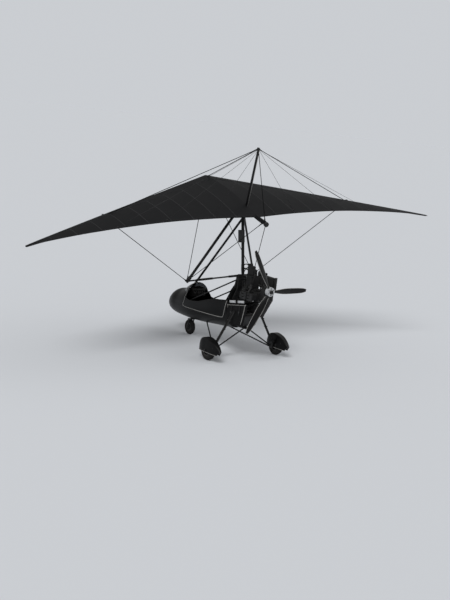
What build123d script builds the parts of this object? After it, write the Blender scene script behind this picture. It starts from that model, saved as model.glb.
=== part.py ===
"""Two-seat weight-shift ultralight: a tricycle pod unit hung under a king-posted flexible wing.

Millimetres. +X forward, +Y to the pilot's left, +Z up. The pieces are laid out from the point
on the ground midway between the main wheels, and everything is moved at the end so that the
row's origin is the bottom centre of the whole aircraft's box.
"""
from build123d import *
from math import cos, radians, sin, tan
import os

# Driving dimensions of the tricycle unit
TRACK = 1570
WHEELBASE = 1730
MAIN_WHEEL_R = 180
MAIN_TYRE_W = 104
NOSE_WHEEL_R = 150
NOSE_TYRE_W = 86
PROP_HUB = (-574, 0, 1351)
PROP_R = 857
PROP_FIRST_BLADE = 59.6
MAST_FOOT = (50, 0, 450)
MAST_LEAN = 10.6
MAST_R = 28
PITCH_BOLT_Z = 2605
STRUT_R = 21
STRUT_TOP_Z = 2505
STRUT_SLOPE = 49.4
KEEL_FRONT = (2190, 0, 448)
KEEL_REAR = (-40, 0, 562)
KEEL_R = 30

# Driving dimensions of the wing, in its own frame: the origin is on the keel tube's axis over
# the mast, and +X runs to the nose. It is parked nose up and leaning to the left
WING_ORIGIN = (439, 0, 2715)
WING_NOSE_UP = 17.1
WING_LEAN = -5.0
HALF_SPAN = 4418
NOSE_X = 1363
SWEEP = 1805
DROOP = 227
WING_KEEL_R = 30
WING_KEEL_REAR_X = -752
HANG_X = 15
APEX_X = 93
BAR_X = 194
BAR_HALF = 769
BAR_Z = -1577
POST_X = -52
POST_TOP = (-16, 0, 1142)
WIRE_R = 4.5
SIDE_WIRE_SHARE = 0.62

# Pod: floor, half width and virtual crown of its oval sections behind the nose
POD_NOSE_LENGTH = 430
POD_NOSE_DROOP = 160
POD_NOSE_ANGLES = (84, 68, 50, 32, 15)
POD_SECTIONS = [
    (1950, 286, 345, 885),
    (1650, 316, 346, 985),
    (1300, 329, 366, 1085),
    (900, 330, 412, 1200),
    (560, 318, 452, 1265),
    (250, 300, 500, 1310),
]
POD_WALL = 9

# Saddle bag and tank
BAG_Y = (196, 286)
TANK_HALF = 180

nodes = {}


def keep(node, *shapes):
    """File one node's solids under its name."""
    nodes[node] = [s for shape in shapes for s in shape.solids()]


def plane_along(a, b):
    """A plane at a whose normal points to b and whose x axis is level where it can be."""
    a, b = Vector(*a), Vector(*b)
    direction = (b - a).normalized()
    level = Vector(0, 0, 1).cross(direction)
    return Plane(origin=a, x_dir=level if level.length > 1e-6 else Vector(0, 1, 0), z_dir=direction)


def distance(a, b):
    return (Vector(*b) - Vector(*a)).length


def between(a, b, share):
    return tuple(p + (q - p) * share for p, q in zip(a, b))


def rod(a, b, radius):
    """A round bar from a to b."""
    return extrude(plane_along(a, b) * Circle(radius), distance(a, b))


def drum(centre, radius, width):
    """A round disc lying across the aircraft."""
    x, y, z = centre
    return rod((x, y - width / 2, z), (x, y + width / 2, z), radius)


def faired_rod(a, b, chord, thickness):
    """A streamlined bar from a to b, blunt edge forward."""
    along = (Vector(*b) - Vector(*a)).normalized()
    ahead = Vector(1, 0, 0)
    ahead = (ahead - along * ahead.dot(along)).normalized()
    r = thickness / 2
    tail = r - chord
    outline = make_face(
        [
            ThreePointArc((0, -r), (r, 0), (0, r)),
            ThreePointArc((0, r), (tail * 0.5, r * 0.76), (tail, r * 0.16)),
            Line((tail, r * 0.16), (tail, -r * 0.16)),
            ThreePointArc((tail, -r * 0.16), (tail * 0.5, -r * 0.76), (0, -r)),
        ]
    )
    return extrude(Plane(origin=a, x_dir=ahead, z_dir=along) * outline, distance(a, b))


def block(x, y, z, radius=0):
    """A box between two values on each axis, with its upright edges rounded."""
    middle = [(low + high) / 2 for low, high in (x, y, z)]
    body = Pos(*middle) * Box(x[1] - x[0], y[1] - y[0], z[1] - z[0])
    return fillet(body.edges().filter_by(Axis.Z), radius) if radius else body


def across(outline, y0, y1):
    """A side-view outline of (x, z) points, filled and extruded from y0 to y1."""
    face = make_face(Polyline([*outline, outline[0]]))
    return extrude(Plane(origin=(0, y0, 0), x_dir=(1, 0, 0), z_dir=(0, -1, 0)) * face, y0 - y1)


def other_side(shape):
    return mirror(shape, about=Plane.XZ)


def largest(shape):
    return max(shape.solids(), key=lambda solid: solid.volume)


def subtract(shape, others):
    for other in others:
        shape -= other
    return shape


# Where the frame's lines run

KEEL_SLOPE = (KEEL_REAR[2] - KEEL_FRONT[2]) / (KEEL_FRONT[0] - KEEL_REAR[0])
HEAD_RAKE = 12
STEM_R = 17
HEAD_R = 29
PITCH_PIN_R = 8
TIE_DOWN_R = 8
FIT = 0.05


def keel_z(x):
    return KEEL_FRONT[2] + (KEEL_FRONT[0] - x) * KEEL_SLOPE


def mast_x(z):
    return MAST_FOOT[0] + (z - MAST_FOOT[2]) * tan(radians(MAST_LEAN))


def on_mast(z):
    return (mast_x(z), 0, z)


def strut_x(z):
    return STRUT_TOP[0] + (STRUT_TOP_Z - z) / tan(radians(STRUT_SLOPE))


def on_strut(z):
    return (strut_x(z), 0, z)


def on_head(z):
    """A point of the steering axis, which leans back."""
    return (WHEELBASE - (z - NOSE_WHEEL_R) * tan(radians(HEAD_RAKE)), 0, z)


STRUT_TOP = (mast_x(STRUT_TOP_Z) + 10, 0, STRUT_TOP_Z)
PITCH_BOLT = on_mast(PITCH_BOLT_Z)
WING = Location(WING_ORIGIN) * Rotation(0, -WING_NOSE_UP, 0) * Rotation(WING_LEAN, 0, 0)


# Keel tube, mast and front strut


def trike_keel(mast_tube):
    tube = rod(KEEL_FRONT, KEEL_REAR, KEEL_R) + rod(on_head(405), on_head(535), HEAD_R)
    x, _, z = KEEL_FRONT
    tube += block((x - 50, x + 20), (-22, 22), (z - 30, z + 62))
    x, _, z = KEEL_REAR
    tube += block((x - 54, x + 20), (-7, 7), (z - 23, z + 23))
    tube -= drum((x - 36, 0, z), TIE_DOWN_R, 60)
    tube -= rod(on_head(200), on_head(700), STEM_R + FIT)
    return tube - mast_tube


def mast():
    tube = rod(on_mast(keel_z(75)), on_mast(PITCH_BOLT_Z - 44), MAST_R)
    tongue = plane_along(on_mast(PITCH_BOLT_Z - 44), PITCH_BOLT) * Rectangle(36, 46)
    return tube + extrude(tongue, 68) - drum(PITCH_BOLT, PITCH_PIN_R + FIT, 120)


def mast_sleeve(mast_tube):
    """The folding joint's sleeve, with the latch box on the mast's left."""
    low, high = on_mast(2075), on_mast(2300)
    sleeve = rod(low, high, MAST_R + 7)
    box = plane_along(low, high) * Pos(MAST_R + 37, 14) * RectangleRounded(76, 54, 10)
    return sleeve + extrude(box, distance(low, high)) - mast_tube


# Pod, windscreen and dash


def pod_stations():
    """Stations of the nose, which droops, then those of the tub."""
    x0, half, floor, crown = POD_SECTIONS[0]
    stations = []
    for angle in POD_NOSE_ANGLES:
        grow = cos(radians(angle))
        middle = (floor + crown) / 2 - POD_NOSE_DROOP * (1 - grow)
        tall = (crown - floor) / 2 * grow
        x = x0 + POD_NOSE_LENGTH * sin(radians(angle))
        stations.append((x, half * grow, middle - tall, middle + tall))
    return stations + POD_SECTIONS


def pod_form(inset):
    ovals = []
    for x, half, floor, crown in pod_stations():
        x -= inset if x > 2300 else 0
        oval = Ellipse(half - inset, (crown - floor) / 2 - inset)
        station = Plane(origin=(x, 0, (floor + crown) / 2), x_dir=(0, 1, 0), z_dir=(1, 0, 0))
        ovals.append(station * oval)
    return loft(ovals)


SILL = [
    (200, 1032),
    (444, 990),
    (620, 964),
    (840, 898),
    (1087, 815),
    (1259, 783),
    (1404, 767),
    (1550, 785),
]
ABOVE_SILL = [(1700, 1300), (200, 1500)]


def pod(outer, cuts):
    """The shell, open above a smooth sill line, with the given holes."""
    outline = make_face([Spline(*SILL), Polyline(SILL[-1], *ABOVE_SILL, SILL[0])])
    above = extrude(Plane(origin=(0, 400, 0), x_dir=(1, 0, 0), z_dir=(0, -1, 0)) * outline, 800)
    shell = largest(outer - pod_form(POD_WALL) - above)
    return largest(subtract(shell, cuts))


# Half width and crown of the screen's arches
SCREEN_SECTIONS = [
    (1880, 100, 925),
    (1740, 200, 1020),
    (1560, 266, 1086),
    (1340, 297, 1120),
]
SCREEN_FOOT = 820
SCREEN_WALL = 6
SCREEN_REAR = [(500, 750), (1585, 750), (1625, 1200), (500, 1200)]


def screen_form(inset):
    arches = []
    for x, half, crown in SCREEN_SECTIONS:
        left, top, right = (-half + inset, SCREEN_FOOT), (0, crown - inset), (half - inset, SCREEN_FOOT)
        arch = make_face([ThreePointArc(left, top, right), Line(right, left)])
        arches.append(Plane(origin=(x, 0, 0), x_dir=(0, 1, 0), z_dir=(1, 0, 0)) * arch)
    return loft(arches)


def windscreen(pod_outer, cut):
    dome = screen_form(0) - Pos(0, 0, -1) * screen_form(SCREEN_WALL)
    return largest(subtract(dome, [across(SCREEN_REAR, 400, -400), pod_outer, cut]))


def dash():
    """The instrument binnacle under the screen."""
    body = across([(1545, 800), (1650, 785), (1700, 900), (1650, 968), (1545, 945)], 150, -150)
    return fillet(body.edges().filter_by(Axis.Y), 14)


# Seats and their frame


def seat_shell(outline, half, radius):
    body = across(outline, half, -half)
    return fillet(body.edges().filter_by(Axis.Y), radius)


FRONT_SEAT = [(1290, 560), (1300, 640), (1000, 610), (905, 862), (822, 840), (925, 540), (1000, 530)]
REAR_SEAT = [
    (700, 820),
    (708, 905),
    (530, 915),
    (452, 1050),
    (430, 1150),
    (312, 1275),
    (298, 1470),
    (262, 1488),
    (222, 1290),
    (250, 1130),
    (330, 850),
]
# Half width of the rear seat up its height
REAR_SEAT_TAPER = [(190, 700), (190, 930), (150, 1010), (122, 1130), (108, 1280), (100, 1600)]


def front_seat():
    return seat_shell(FRONT_SEAT, 175, 28)


def rear_seat(mast_tube):
    """A seat whose back narrows towards its top and leans on the mast."""
    right = [(-half, z) for half, z in reversed(REAR_SEAT_TAPER)]
    front = make_face(Polyline([*REAR_SEAT_TAPER, *right, REAR_SEAT_TAPER[0]]))
    front = Plane(origin=(0, 0, 0), x_dir=(0, 1, 0), z_dir=(1, 0, 0)) * front
    return (seat_shell(REAR_SEAT, 190, 14) & extrude(front, 900)) - mast_tube


RAIL_R = 13
RAIL_Y = 250
RAIL_LOW = (1470, RAIL_Y, 748)
RAIL_HIGH = (60, RAIL_Y, 1452)


def side_rails(pod_shell):
    """Stays from the pod's sides up to the cross tube behind the mast."""
    foot = rod(RAIL_LOW, (RAIL_LOW[0], 340, RAIL_LOW[2]), 16)
    left = largest(rod(RAIL_LOW, RAIL_HIGH, RAIL_R) + foot - pod_shell)
    return left, other_side(left)


SEAT_BAR = (690, 874)
SEAT_STAY_Z = 1060


def seat_frame(mast_tube, keel, seats):
    """Tubes on the mast and the keel that carry the seats and the rails' upper ends."""
    x, z = RAIL_HIGH[0] - 2 * RAIL_R, RAIL_HIGH[2]
    top = rod((x, RAIL_Y + RAIL_R, z), (x, -RAIL_Y - RAIL_R, z), RAIL_R)
    top += rod((x, 0, z), on_mast(z + 20), RAIL_R)
    stay = rod(on_mast(SEAT_STAY_Z), (300, 0, SEAT_STAY_Z), 17)
    x, z = SEAT_BAR
    low = rod((x, -170, z), (x, 170, z), RAIL_R)
    for side in (-1, 1):
        low += rod((x, side * 150, z), (x - 60, side * 12, keel_z(x - 60)), RAIL_R)
    return top - mast_tube, subtract(stay, [mast_tube, *seats]), subtract(low, [keel, *seats])


# Tank and saddle bag

TANK = [(36, 576), (-45, 596), (-160, 790), (-150, 832), (44, 832)]
FILLER = (-70, 120)
BAG = [(242, 640), (210, 604), (-180, 632), (-198, 668), (-262, 1020), (-245, 1041), (240, 946), (250, 925)]
CROSS_TUBE = (27, 298, 865)
CROSS_R = 18


def fuel_tank(mast_tube):
    body = fillet(across(TANK, TANK_HALF, -TANK_HALF).edges().filter_by(Axis.Y), 24)
    cap = rod((*FILLER, 848), (*FILLER, 868), 30)
    cap = fillet(cap.edges().group_by(Axis.Z)[-1], 4)
    return body + rod((*FILLER, 825), (*FILLER, 850), 24) + cap - mast_tube


def saddle_bag(cross):
    body = across(BAG, BAG_Y[1], BAG_Y[0])
    body = fillet(body.edges().filter_by(Axis.Y), 22)
    return body - cross


# Engine, gearbox, radiator, exhaust and propeller

CYLINDER_X = (-165, -318)
CRANK_Z = 1205
CASE = ((-398, -85), (-92, 92), (1108, 1292))
FIN_PITCH = 15
CARBURETTOR = (-200, 150, 1350)
MANIFOLD_Y = 230


def cylinder(x, side):
    """One finned barrel with its head, lying across the aircraft."""
    barrel = rod((x, 0, CRANK_Z), (x, side * 225, CRANK_Z), 52)
    for k in range(7):
        y = side * (108 + k * FIN_PITCH)
        barrel += rod((x, y, CRANK_Z), (x, y + side * 5, CRANK_Z), 70)
    low, high = sorted((side * 212, side * 262))
    return barrel + block((x - 62, x + 62), (low, high), (CRANK_Z - 66, CRANK_Z + 66), 14)


def intake(side):
    """A carburettor over its float bowl, and the pipe that feeds both heads of one side."""
    x, y, z = CARBURETTOR
    y, out, head = side * y, side * MANIFOLD_Y, CRANK_Z + 72
    body = rod((x - 28, y, z), (x + 26, y, z), 25) + rod((x - 4, y, z - 24), (x - 4, y, z + 44), 20)
    body += rod((x - 28, y, z), (x - 42, out, head), 14)
    return body + rod((x - 100, out, head), (x + 16, out, head), 13)


def engine(mount):
    body = fillet(block(*CASE).edges().filter_by(Axis.X), 22)
    for side in (-1, 1):
        for x in CYLINDER_X:
            body += cylinder(x, side)
        body += intake(side)
    return body - mount


def gearbox(engine_body):
    x, y, z = PROP_HUB
    face = Plane(origin=(-505, 0, 0), x_dir=(0, 1, 0), z_dir=(1, 0, 0))
    profile = make_hull((Pos(0, z) * Circle(66) + Pos(0, CRANK_Z) * Circle(84)).edges())
    body = extrude(face * profile, 110) + rod((-512, 0, z), (-500, 0, z), 34)
    return body - engine_body


AIR_BOX = [(12, 1280), (-140, 1280), (-142, 1536), (12, 1540)]
AIR_INTAKE = [(48, 1520), (-110, 1520), (-98, 1645), (-45, 1656), (-45, 1700), (40, 1704), (46, 1738), (70, 1738)]


def air_box(others):
    """The box behind the mast under its narrow intake, a stay, and two hoses to the carburettors."""
    body = across(AIR_BOX, 92, -92) + across(AIR_INTAKE, 50, -50)
    body += rod((30, 0, 1620), on_mast(1620), 14)
    x, y, z = CARBURETTOR
    for side in (-1, 1):
        body += rod((x + 20, side * y, z), (x + 80, side * 80, z + 34), 21)
    return largest(subtract(body, others))


def radiator(others):
    """Core and end tanks on the engine's right, on stays from the heads and the air box."""
    core = block((-300, -20), (-352, -312), (1330, 1530))
    for x in (-322, -20):
        core += block((x, x + 22), (-358, -306), (1318, 1542), 8)
    for x, foot in ((-110, -140), (-250, -290)):
        core += rod((x, -322, 1342), (foot, -245, CRANK_Z + 60), 8)
    core += rod((-60, -320, 1500), (-60, -80, 1500), 9)
    return largest(subtract(core, others))


def exhaust(others):
    """Silencer drum under the right cylinders, its two down pipes and its tail pipe."""
    drum_low, drum_high = (-60, -285, 800), (-250, -285, 1120)
    body = rod(drum_low, drum_high, 58)
    body += rod((-165, -236, 1150), (-165, -285, 1010), 19)
    body += rod((-318, -236, 1150), (-235, -285, 1080), 19)
    return largest(subtract(body, others))


def engine_mount(mast_tube):
    """Bearers, cross tube and braces, welded in one frame behind the mast."""
    x, y, z = CROSS_TUBE
    frame = rod((x, -y + 8, z), (x, y - 8, z), CROSS_R)
    for side in (-1, 1):
        bearer_front, bearer_rear = (140, side * 30, 1020), (-390, side * 105, 1094)
        frame += rod(bearer_front, bearer_rear, 15)
        frame += rod((x, side * 150, z), (-300, side * 92, 1084), 13)
        frame += rod((x, side * 60, z), between(bearer_front, bearer_rear, 0.2), 13)
    frame += rod((x, 0, z), (mast_x(z) + 5, 0, z), 15)
    return frame - mast_tube


HUB_BORE_R = 12

# Blade sections: radius, chord, thickness and pitch
BLADE_SECTIONS = [
    (62, 46, 40, 38),
    (150, 74, 26, 33),
    (320, 116, 18, 25),
    (560, 112, 12, 17),
    (760, 90, 8, 12),
    (850, 46, 5, 10),
]


def blade(angle):
    ovals = []
    for radius, chord, thick, pitch in BLADE_SECTIONS:
        section = Plane(origin=(0, 0, radius), z_dir=(0, 0, 1), x_dir=(0, 1, 0))
        ovals.append(section * Rot(0, 0, pitch) * Ellipse(chord / 2, thick / 2))
    return Pos(*PROP_HUB) * Rot(angle - 90, 0, 0) * loft(ovals)


def propeller():
    x, y, z = PROP_HUB
    blades = [blade(PROP_FIRST_BLADE + 120 * k) for k in range(3)]
    hub = rod((x + 34, y, z), (x - 32, y, z), 82) + rod((x + 60, y, z), (x + 30, y, z), 48)
    cap = rod((x - 32, y, z), (x - 62, y, z), 36)
    cap = fillet(cap.edges().group_by(Axis.X)[0], 12)
    cap -= rod((x - 44, y, z), (x - 80, y, z), HUB_BORE_R)
    return subtract(hub, blades), blades, cap


# Wheels, legs, axles and spats

AXLE_R = 12.5
SPAT_HALF = 72
SPAT_WALL = 7
SPAT_TOP = (-4, 412)
SPAT_FLOOR = 150
SPAT_ROUND = 22


def ring(half):
    """A ring about Z, given one half of its section; the other half mirrors it."""
    outline = half + [(r, -y) for r, y in reversed(half)]
    return revolve(Plane.XZ * make_face(Polyline([*outline, outline[0]])), Axis.Z)


def wheel(centre, radius, width, seat, bore):
    """Rim and tyre, each a turned section about the axle."""
    w, s, shoulder = width / 2, seat, radius - 34
    dish = [(bore, w - 8), (34, w - 8), (34, 14), (s - 16, 12), (s - 12, w - 10), (s + 5, w - 10)]
    rim = ring([*dish, (s, w - 20)])
    wall = [(s + 0.1, w - 22), (s + 8, w - 9), ((s + 8 + shoulder) / 2, w), (shoulder, w - 6)]
    tyre = ring([*wall, (radius - 9, 0.68 * w), (radius, 0.3 * w)])
    place = Pos(*centre) * Rot(90, 0, 0)
    return place * rim, place * tyre


def spat_form(inset, floor):
    """A faired body where a side outline and a plan outline meet, drawn in by inset."""
    top = (SPAT_TOP[0], SPAT_TOP[1] - inset)
    toe, heel, tail = (252 - inset, floor), (-300 + inset, floor), (-372 + 2.2 * inset, 240)
    side = make_face(
        [
            ThreePointArc(toe, (186 - 0.75 * inset, 347 - 0.7 * inset), top),
            ThreePointArc(top, (-196 + 0.3 * inset, 362 - inset), tail),
            Line(tail, heel),
            Line(heel, toe),
        ]
    )
    half = SPAT_HALF - inset
    nose, brow, left = (262 - inset, 0), (150 - inset / 2, half - 6), (0, half)
    end = (-384 + 2.2 * inset, 20 - inset)
    brow_right, right, end_right = [(x, -y) for x, y in (brow, left, end)]
    plan = make_face(
        [
            ThreePointArc(right, (-210, -0.8 * half), end_right),
            Line(end_right, end),
            ThreePointArc(end, (-210, 0.8 * half), left),
            Spline(left, brow, nose, brow_right, right, tangents=((1, 0), (-1, 0))),
        ]
    )
    body = extrude(Plane(origin=(0, 80, 0), x_dir=(1, 0, 0), z_dir=(0, -1, 0)) * side, 160)
    body = body & extrude(plan, 500)
    shoulders = [e for e in body.edges() if e.center().Z > 250 and e.length > 100]
    return fillet(shoulders, SPAT_ROUND - 0.7 * inset)


def spat(stub):
    cover = spat_form(0, SPAT_FLOOR) - spat_form(SPAT_WALL, SPAT_FLOOR - 50)
    return Pos(0, TRACK / 2, 0) * cover - stub


def axle():
    x, y, z = 0, TRACK / 2, MAIN_WHEEL_R
    body = block((-34, 34), (648, 704), (z - 42, z + 92), 8)
    body += rod((0, 700, z), (0, y + SPAT_HALF + 8, z), AXLE_R)
    return body + rod((0, y + SPAT_HALF + 2, z), (0, y + SPAT_HALF + 14, z), 22)


# Wing, drawn in its own frame. Sail sections: distance from the keel, trailing edge, lift of the
# trailing edge, leading edge radius and share of camber
SAIL_SECTIONS = [
    (0, -455, 16, 34, 1.0),
    (900, -405, 66, 34, 0.95),
    (2000, -382, 98, 32, 0.85),
    (3200, -400, 82, 27, 0.7),
    (4060, -436, 40, 20, 0.6),
    (4400, -478, 10, 13, 0.5),
]
UPPER_CAMBER = 0.040
LOWER_CAMBER = 0.014
EDGE = 4
CORNER = (BAR_X, BAR_HALF, BAR_Z)
APEX = (APEX_X, 40, -52)


def leading_edge(y):
    """The leading edge tube's axis at a distance from the keel."""
    return (NOSE_X - SWEEP * y / HALF_SPAN, y, -DROOP * y / HALF_SPAN)


def sail_section(y, te_x, lift, radius, camber):
    x, _, z = leading_edge(y)
    te_z = z + lift
    chord = x - te_x
    middle = (x + te_x) / 2
    upper = ((z + radius) + te_z) / 2 + UPPER_CAMBER * camber * chord
    lower = ((z - radius) + te_z) / 2 + LOWER_CAMBER * camber * chord
    outline = make_face(
        [
            ThreePointArc((x, z - radius), (x + radius, z), (x, z + radius)),
            ThreePointArc((x, z + radius), (middle, upper), (te_x, te_z + EDGE)),
            Line((te_x, te_z + EDGE), (te_x, te_z - EDGE)),
            ThreePointArc((te_x, te_z - EDGE), (middle, lower), (x, z - radius)),
        ]
    )
    return Plane(origin=(0, y, 0), x_dir=(1, 0, 0), z_dir=(0, -1, 0)) * outline


def half_sail(cuts):
    return largest(subtract(loft([sail_section(*row) for row in SAIL_SECTIONS]), cuts))


def wing_keel():
    """Keel tube with nose plate, control frame bracket, post foot and tail bumper."""
    tube = rod((WING_KEEL_REAR_X, 0, 0), (NOSE_X - 10, 0, 0), WING_KEEL_R)
    tube += block((NOSE_X - 130, NOSE_X - 10), (-48, 48), (-48, -26), 20)
    tube += block((APEX_X - 24, APEX_X + 24), (-62, 62), (-76, -22), 8)
    tube += block((POST_X - 30, POST_X + 20), (-20, 20), (20, 62))
    tube += fillet(rod((WING_KEEL_REAR_X, 0, 0), (WING_KEEL_REAR_X + 56, 0, 0), 46).edges(), 14)
    return tube


POCKET = [(-380, 40), (-470, 34), (-676, 44), (-640, -38), (-440, -38), (-380, -20)]


def keel_pocket(keel, sails):
    body = across(POCKET, 38, -38)
    body = fillet(body.edges().filter_by(Axis.X, tolerance=25), 6)
    return largest(subtract(body, [keel, *sails]))


def king_post(keel):
    post = faired_rod((POST_X, 0, 30), POST_TOP, 62, 32) - keel
    x, y, z = POST_TOP
    return post + rod((x, y, z - 14), (x, y, z + 16), 26)


def control_frame(keel):
    """The two streamlined uprights and the bar between their feet, with its end fittings."""
    upright = faired_rod(APEX, CORNER, 64, 30) - keel
    x, y, z = CORNER
    bar = rod((x, -y + 14, z), (x, y - 14, z), 15)
    for side in (-1, 1):
        bar += rod((x - 34, side * y, z), (x + 34, side * y, z), 22)
    left = upright - bar
    return left, bar


NOSE_ANCHOR = (NOSE_X - 90, 30, -50)
TAIL_ANCHOR = (WING_KEEL_REAR_X + 90, 40, 0)
POST_NOSE = (NOSE_X - 60, 0, 34)
POST_TAIL = (WING_KEEL_REAR_X + 80, 0, 30)
CLEAR = 44


def wire(a, b):
    """A taut wire from a to b, starting clear of the fitting at a."""
    return rod(between(a, b, CLEAR / distance(a, b)), b, WIRE_R)


def lower_wires(others):
    """From the left end of the bar to the nose, the tail and the leading edge."""
    side_end = leading_edge(HALF_SPAN * SIDE_WIRE_SHARE)
    wires = [wire(CORNER, end) for end in (NOSE_ANCHOR, TAIL_ANCHOR, side_end)]
    return [largest(subtract(w, others)) for w in wires]


def upper_wires(others):
    """From the king post's head to the nose, the tail and both leading edges."""
    x, y, z = leading_edge(HALF_SPAN * SIDE_WIRE_SHARE)
    wires = [wire(POST_TOP, end) for end in (POST_NOSE, POST_TAIL, (x, y, z), (x, -y, z))]
    return [largest(subtract(w, others)) for w in wires]


def hang_block(keel_bore):
    """Sleeve round the wing's keel, with two cheeks and a pin that straddle the mast's tongue."""
    frame = Location(WING_ORIGIN) * Rotation(0, -WING_NOSE_UP, 0)
    sleeve = frame * rod((HANG_X - 38, 0, 0), (HANG_X + 38, 0, 0), 44)
    x, _, z = PITCH_BOLT
    for side in (-1, 1):
        low, high = sorted((side * 19.5, side * 34))
        cheek = block((x - 26, x + 26), (low, high), (z - 24, WING_ORIGIN[2] - 6))
        sleeve += fillet(cheek.edges().filter_by(Axis.Y).group_by(Axis.Z)[0], 20)
    sleeve += drum(PITCH_BOLT, PITCH_PIN_R, 84)
    for side in (-1, 1):
        sleeve += drum((x, side * 38, z), 15, 8)
    return sleeve - frame * rod((-400, 0, 0), (400, 0, 0), keel_bore)


# Steering: fork, foot bar and nose wheel

FORK_HALF = 61
CROWN_Z = (306, 326)
PEG_Z = 572
PEG_REACH = 205
NOSE_AXLE_R = 10


def front_fork():
    """Fork legs, crown, stem and the foot bar that the pilot steers with."""
    axle_at = (WHEELBASE, 0, NOSE_WHEEL_R)
    fork = rod(on_head(CROWN_Z[0] + 4), on_head(PEG_Z), STEM_R)
    x = on_head(CROWN_Z[0])[0]
    fork += block((x - 30, x + 34), (-FORK_HALF - 14, FORK_HALF + 14), CROWN_Z, 10)
    for side in (-1, 1):
        y = side * FORK_HALF
        fork += rod((axle_at[0], y, axle_at[2] - 16), (x + 6, y, CROWN_Z[1] - 4), 11)
    fork += drum(axle_at, NOSE_AXLE_R, 2 * FORK_HALF + 34)
    x, _, z = on_head(PEG_Z - 14)
    fork += rod((x, -PEG_REACH, z), (x, PEG_REACH, z), 11)
    fork += rod(on_head(PEG_Z - 32), on_head(PEG_Z + 6), 25)
    for side in (-1, 1):
        low, high = sorted((side * 110, side * 200))
        fork += block((x - 30, x + 10), (low, high), (z - 7, z + 16), 6)
    return fork


LEG_TOP = (27, 298, 865)
LEG_FOOT = (-1, 672, 250)
DRAG_STRUT = ((1220, 30, keel_z(1220)), (0, 655, 160))
REAR_STRUT = ((-12, 30, 558), (10, 655, 182))
GEAR_STRUT_R = 12


def wing_parts():
    tube = wing_keel()
    post = king_post(tube)
    post_slot = faired_rod((POST_X, 0, 20), between((POST_X, 0, 30), POST_TOP, 0.3), 74, 44)
    sleeve_room = rod((HANG_X - 44, 0, 0), (HANG_X + 44, 0, 0), 50)
    left_sail = half_sail([tube, post_slot, sleeve_room])
    right_sail = other_side(left_sail)
    upright, bar = control_frame(tube)
    fixed = [tube, left_sail, right_sail, upright, other_side(upright), bar]
    lower = lower_wires(fixed)
    keep_wing("wing_keel", tube)
    keep_wing("left_sail", left_sail)
    keep_wing("right_sail", right_sail)
    pocket = keel_pocket(tube, [left_sail, right_sail])
    keep_wing("keel_pocket", pocket)
    keep_wing("king_post", post)
    keep_wing("left_upright", upright)
    keep_wing("right_upright", other_side(upright))
    keep_wing("base_bar", bar)
    keep_wing("left_wires", *lower)
    keep_wing("right_wires", *[other_side(w) for w in lower])
    keep_wing("upper_wires", *upper_wires([tube, left_sail, right_sail, post, pocket]))
    keep("hang_block", hang_block(WING_KEEL_R + FIT))


def keep_wing(node, *shapes):
    keep(node, *[WING * shape for shape in shapes])


def to_origin():
    """The move that brings the bottom centre of the whole box to the origin."""
    points = [p for solids in nodes.values() for s in solids for p in s.tessellate(0.3, 0.2)[0]]
    low = [min(p.X for p in points), min(p.Y for p in points), min(p.Z for p in points)]
    high = [max(p.X for p in points), max(p.Y for p in points)]
    move = Pos(-(low[0] + high[0]) / 2, -(low[1] + high[1]) / 2, -low[2])
    print("moved by", move.position)
    return move


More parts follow.
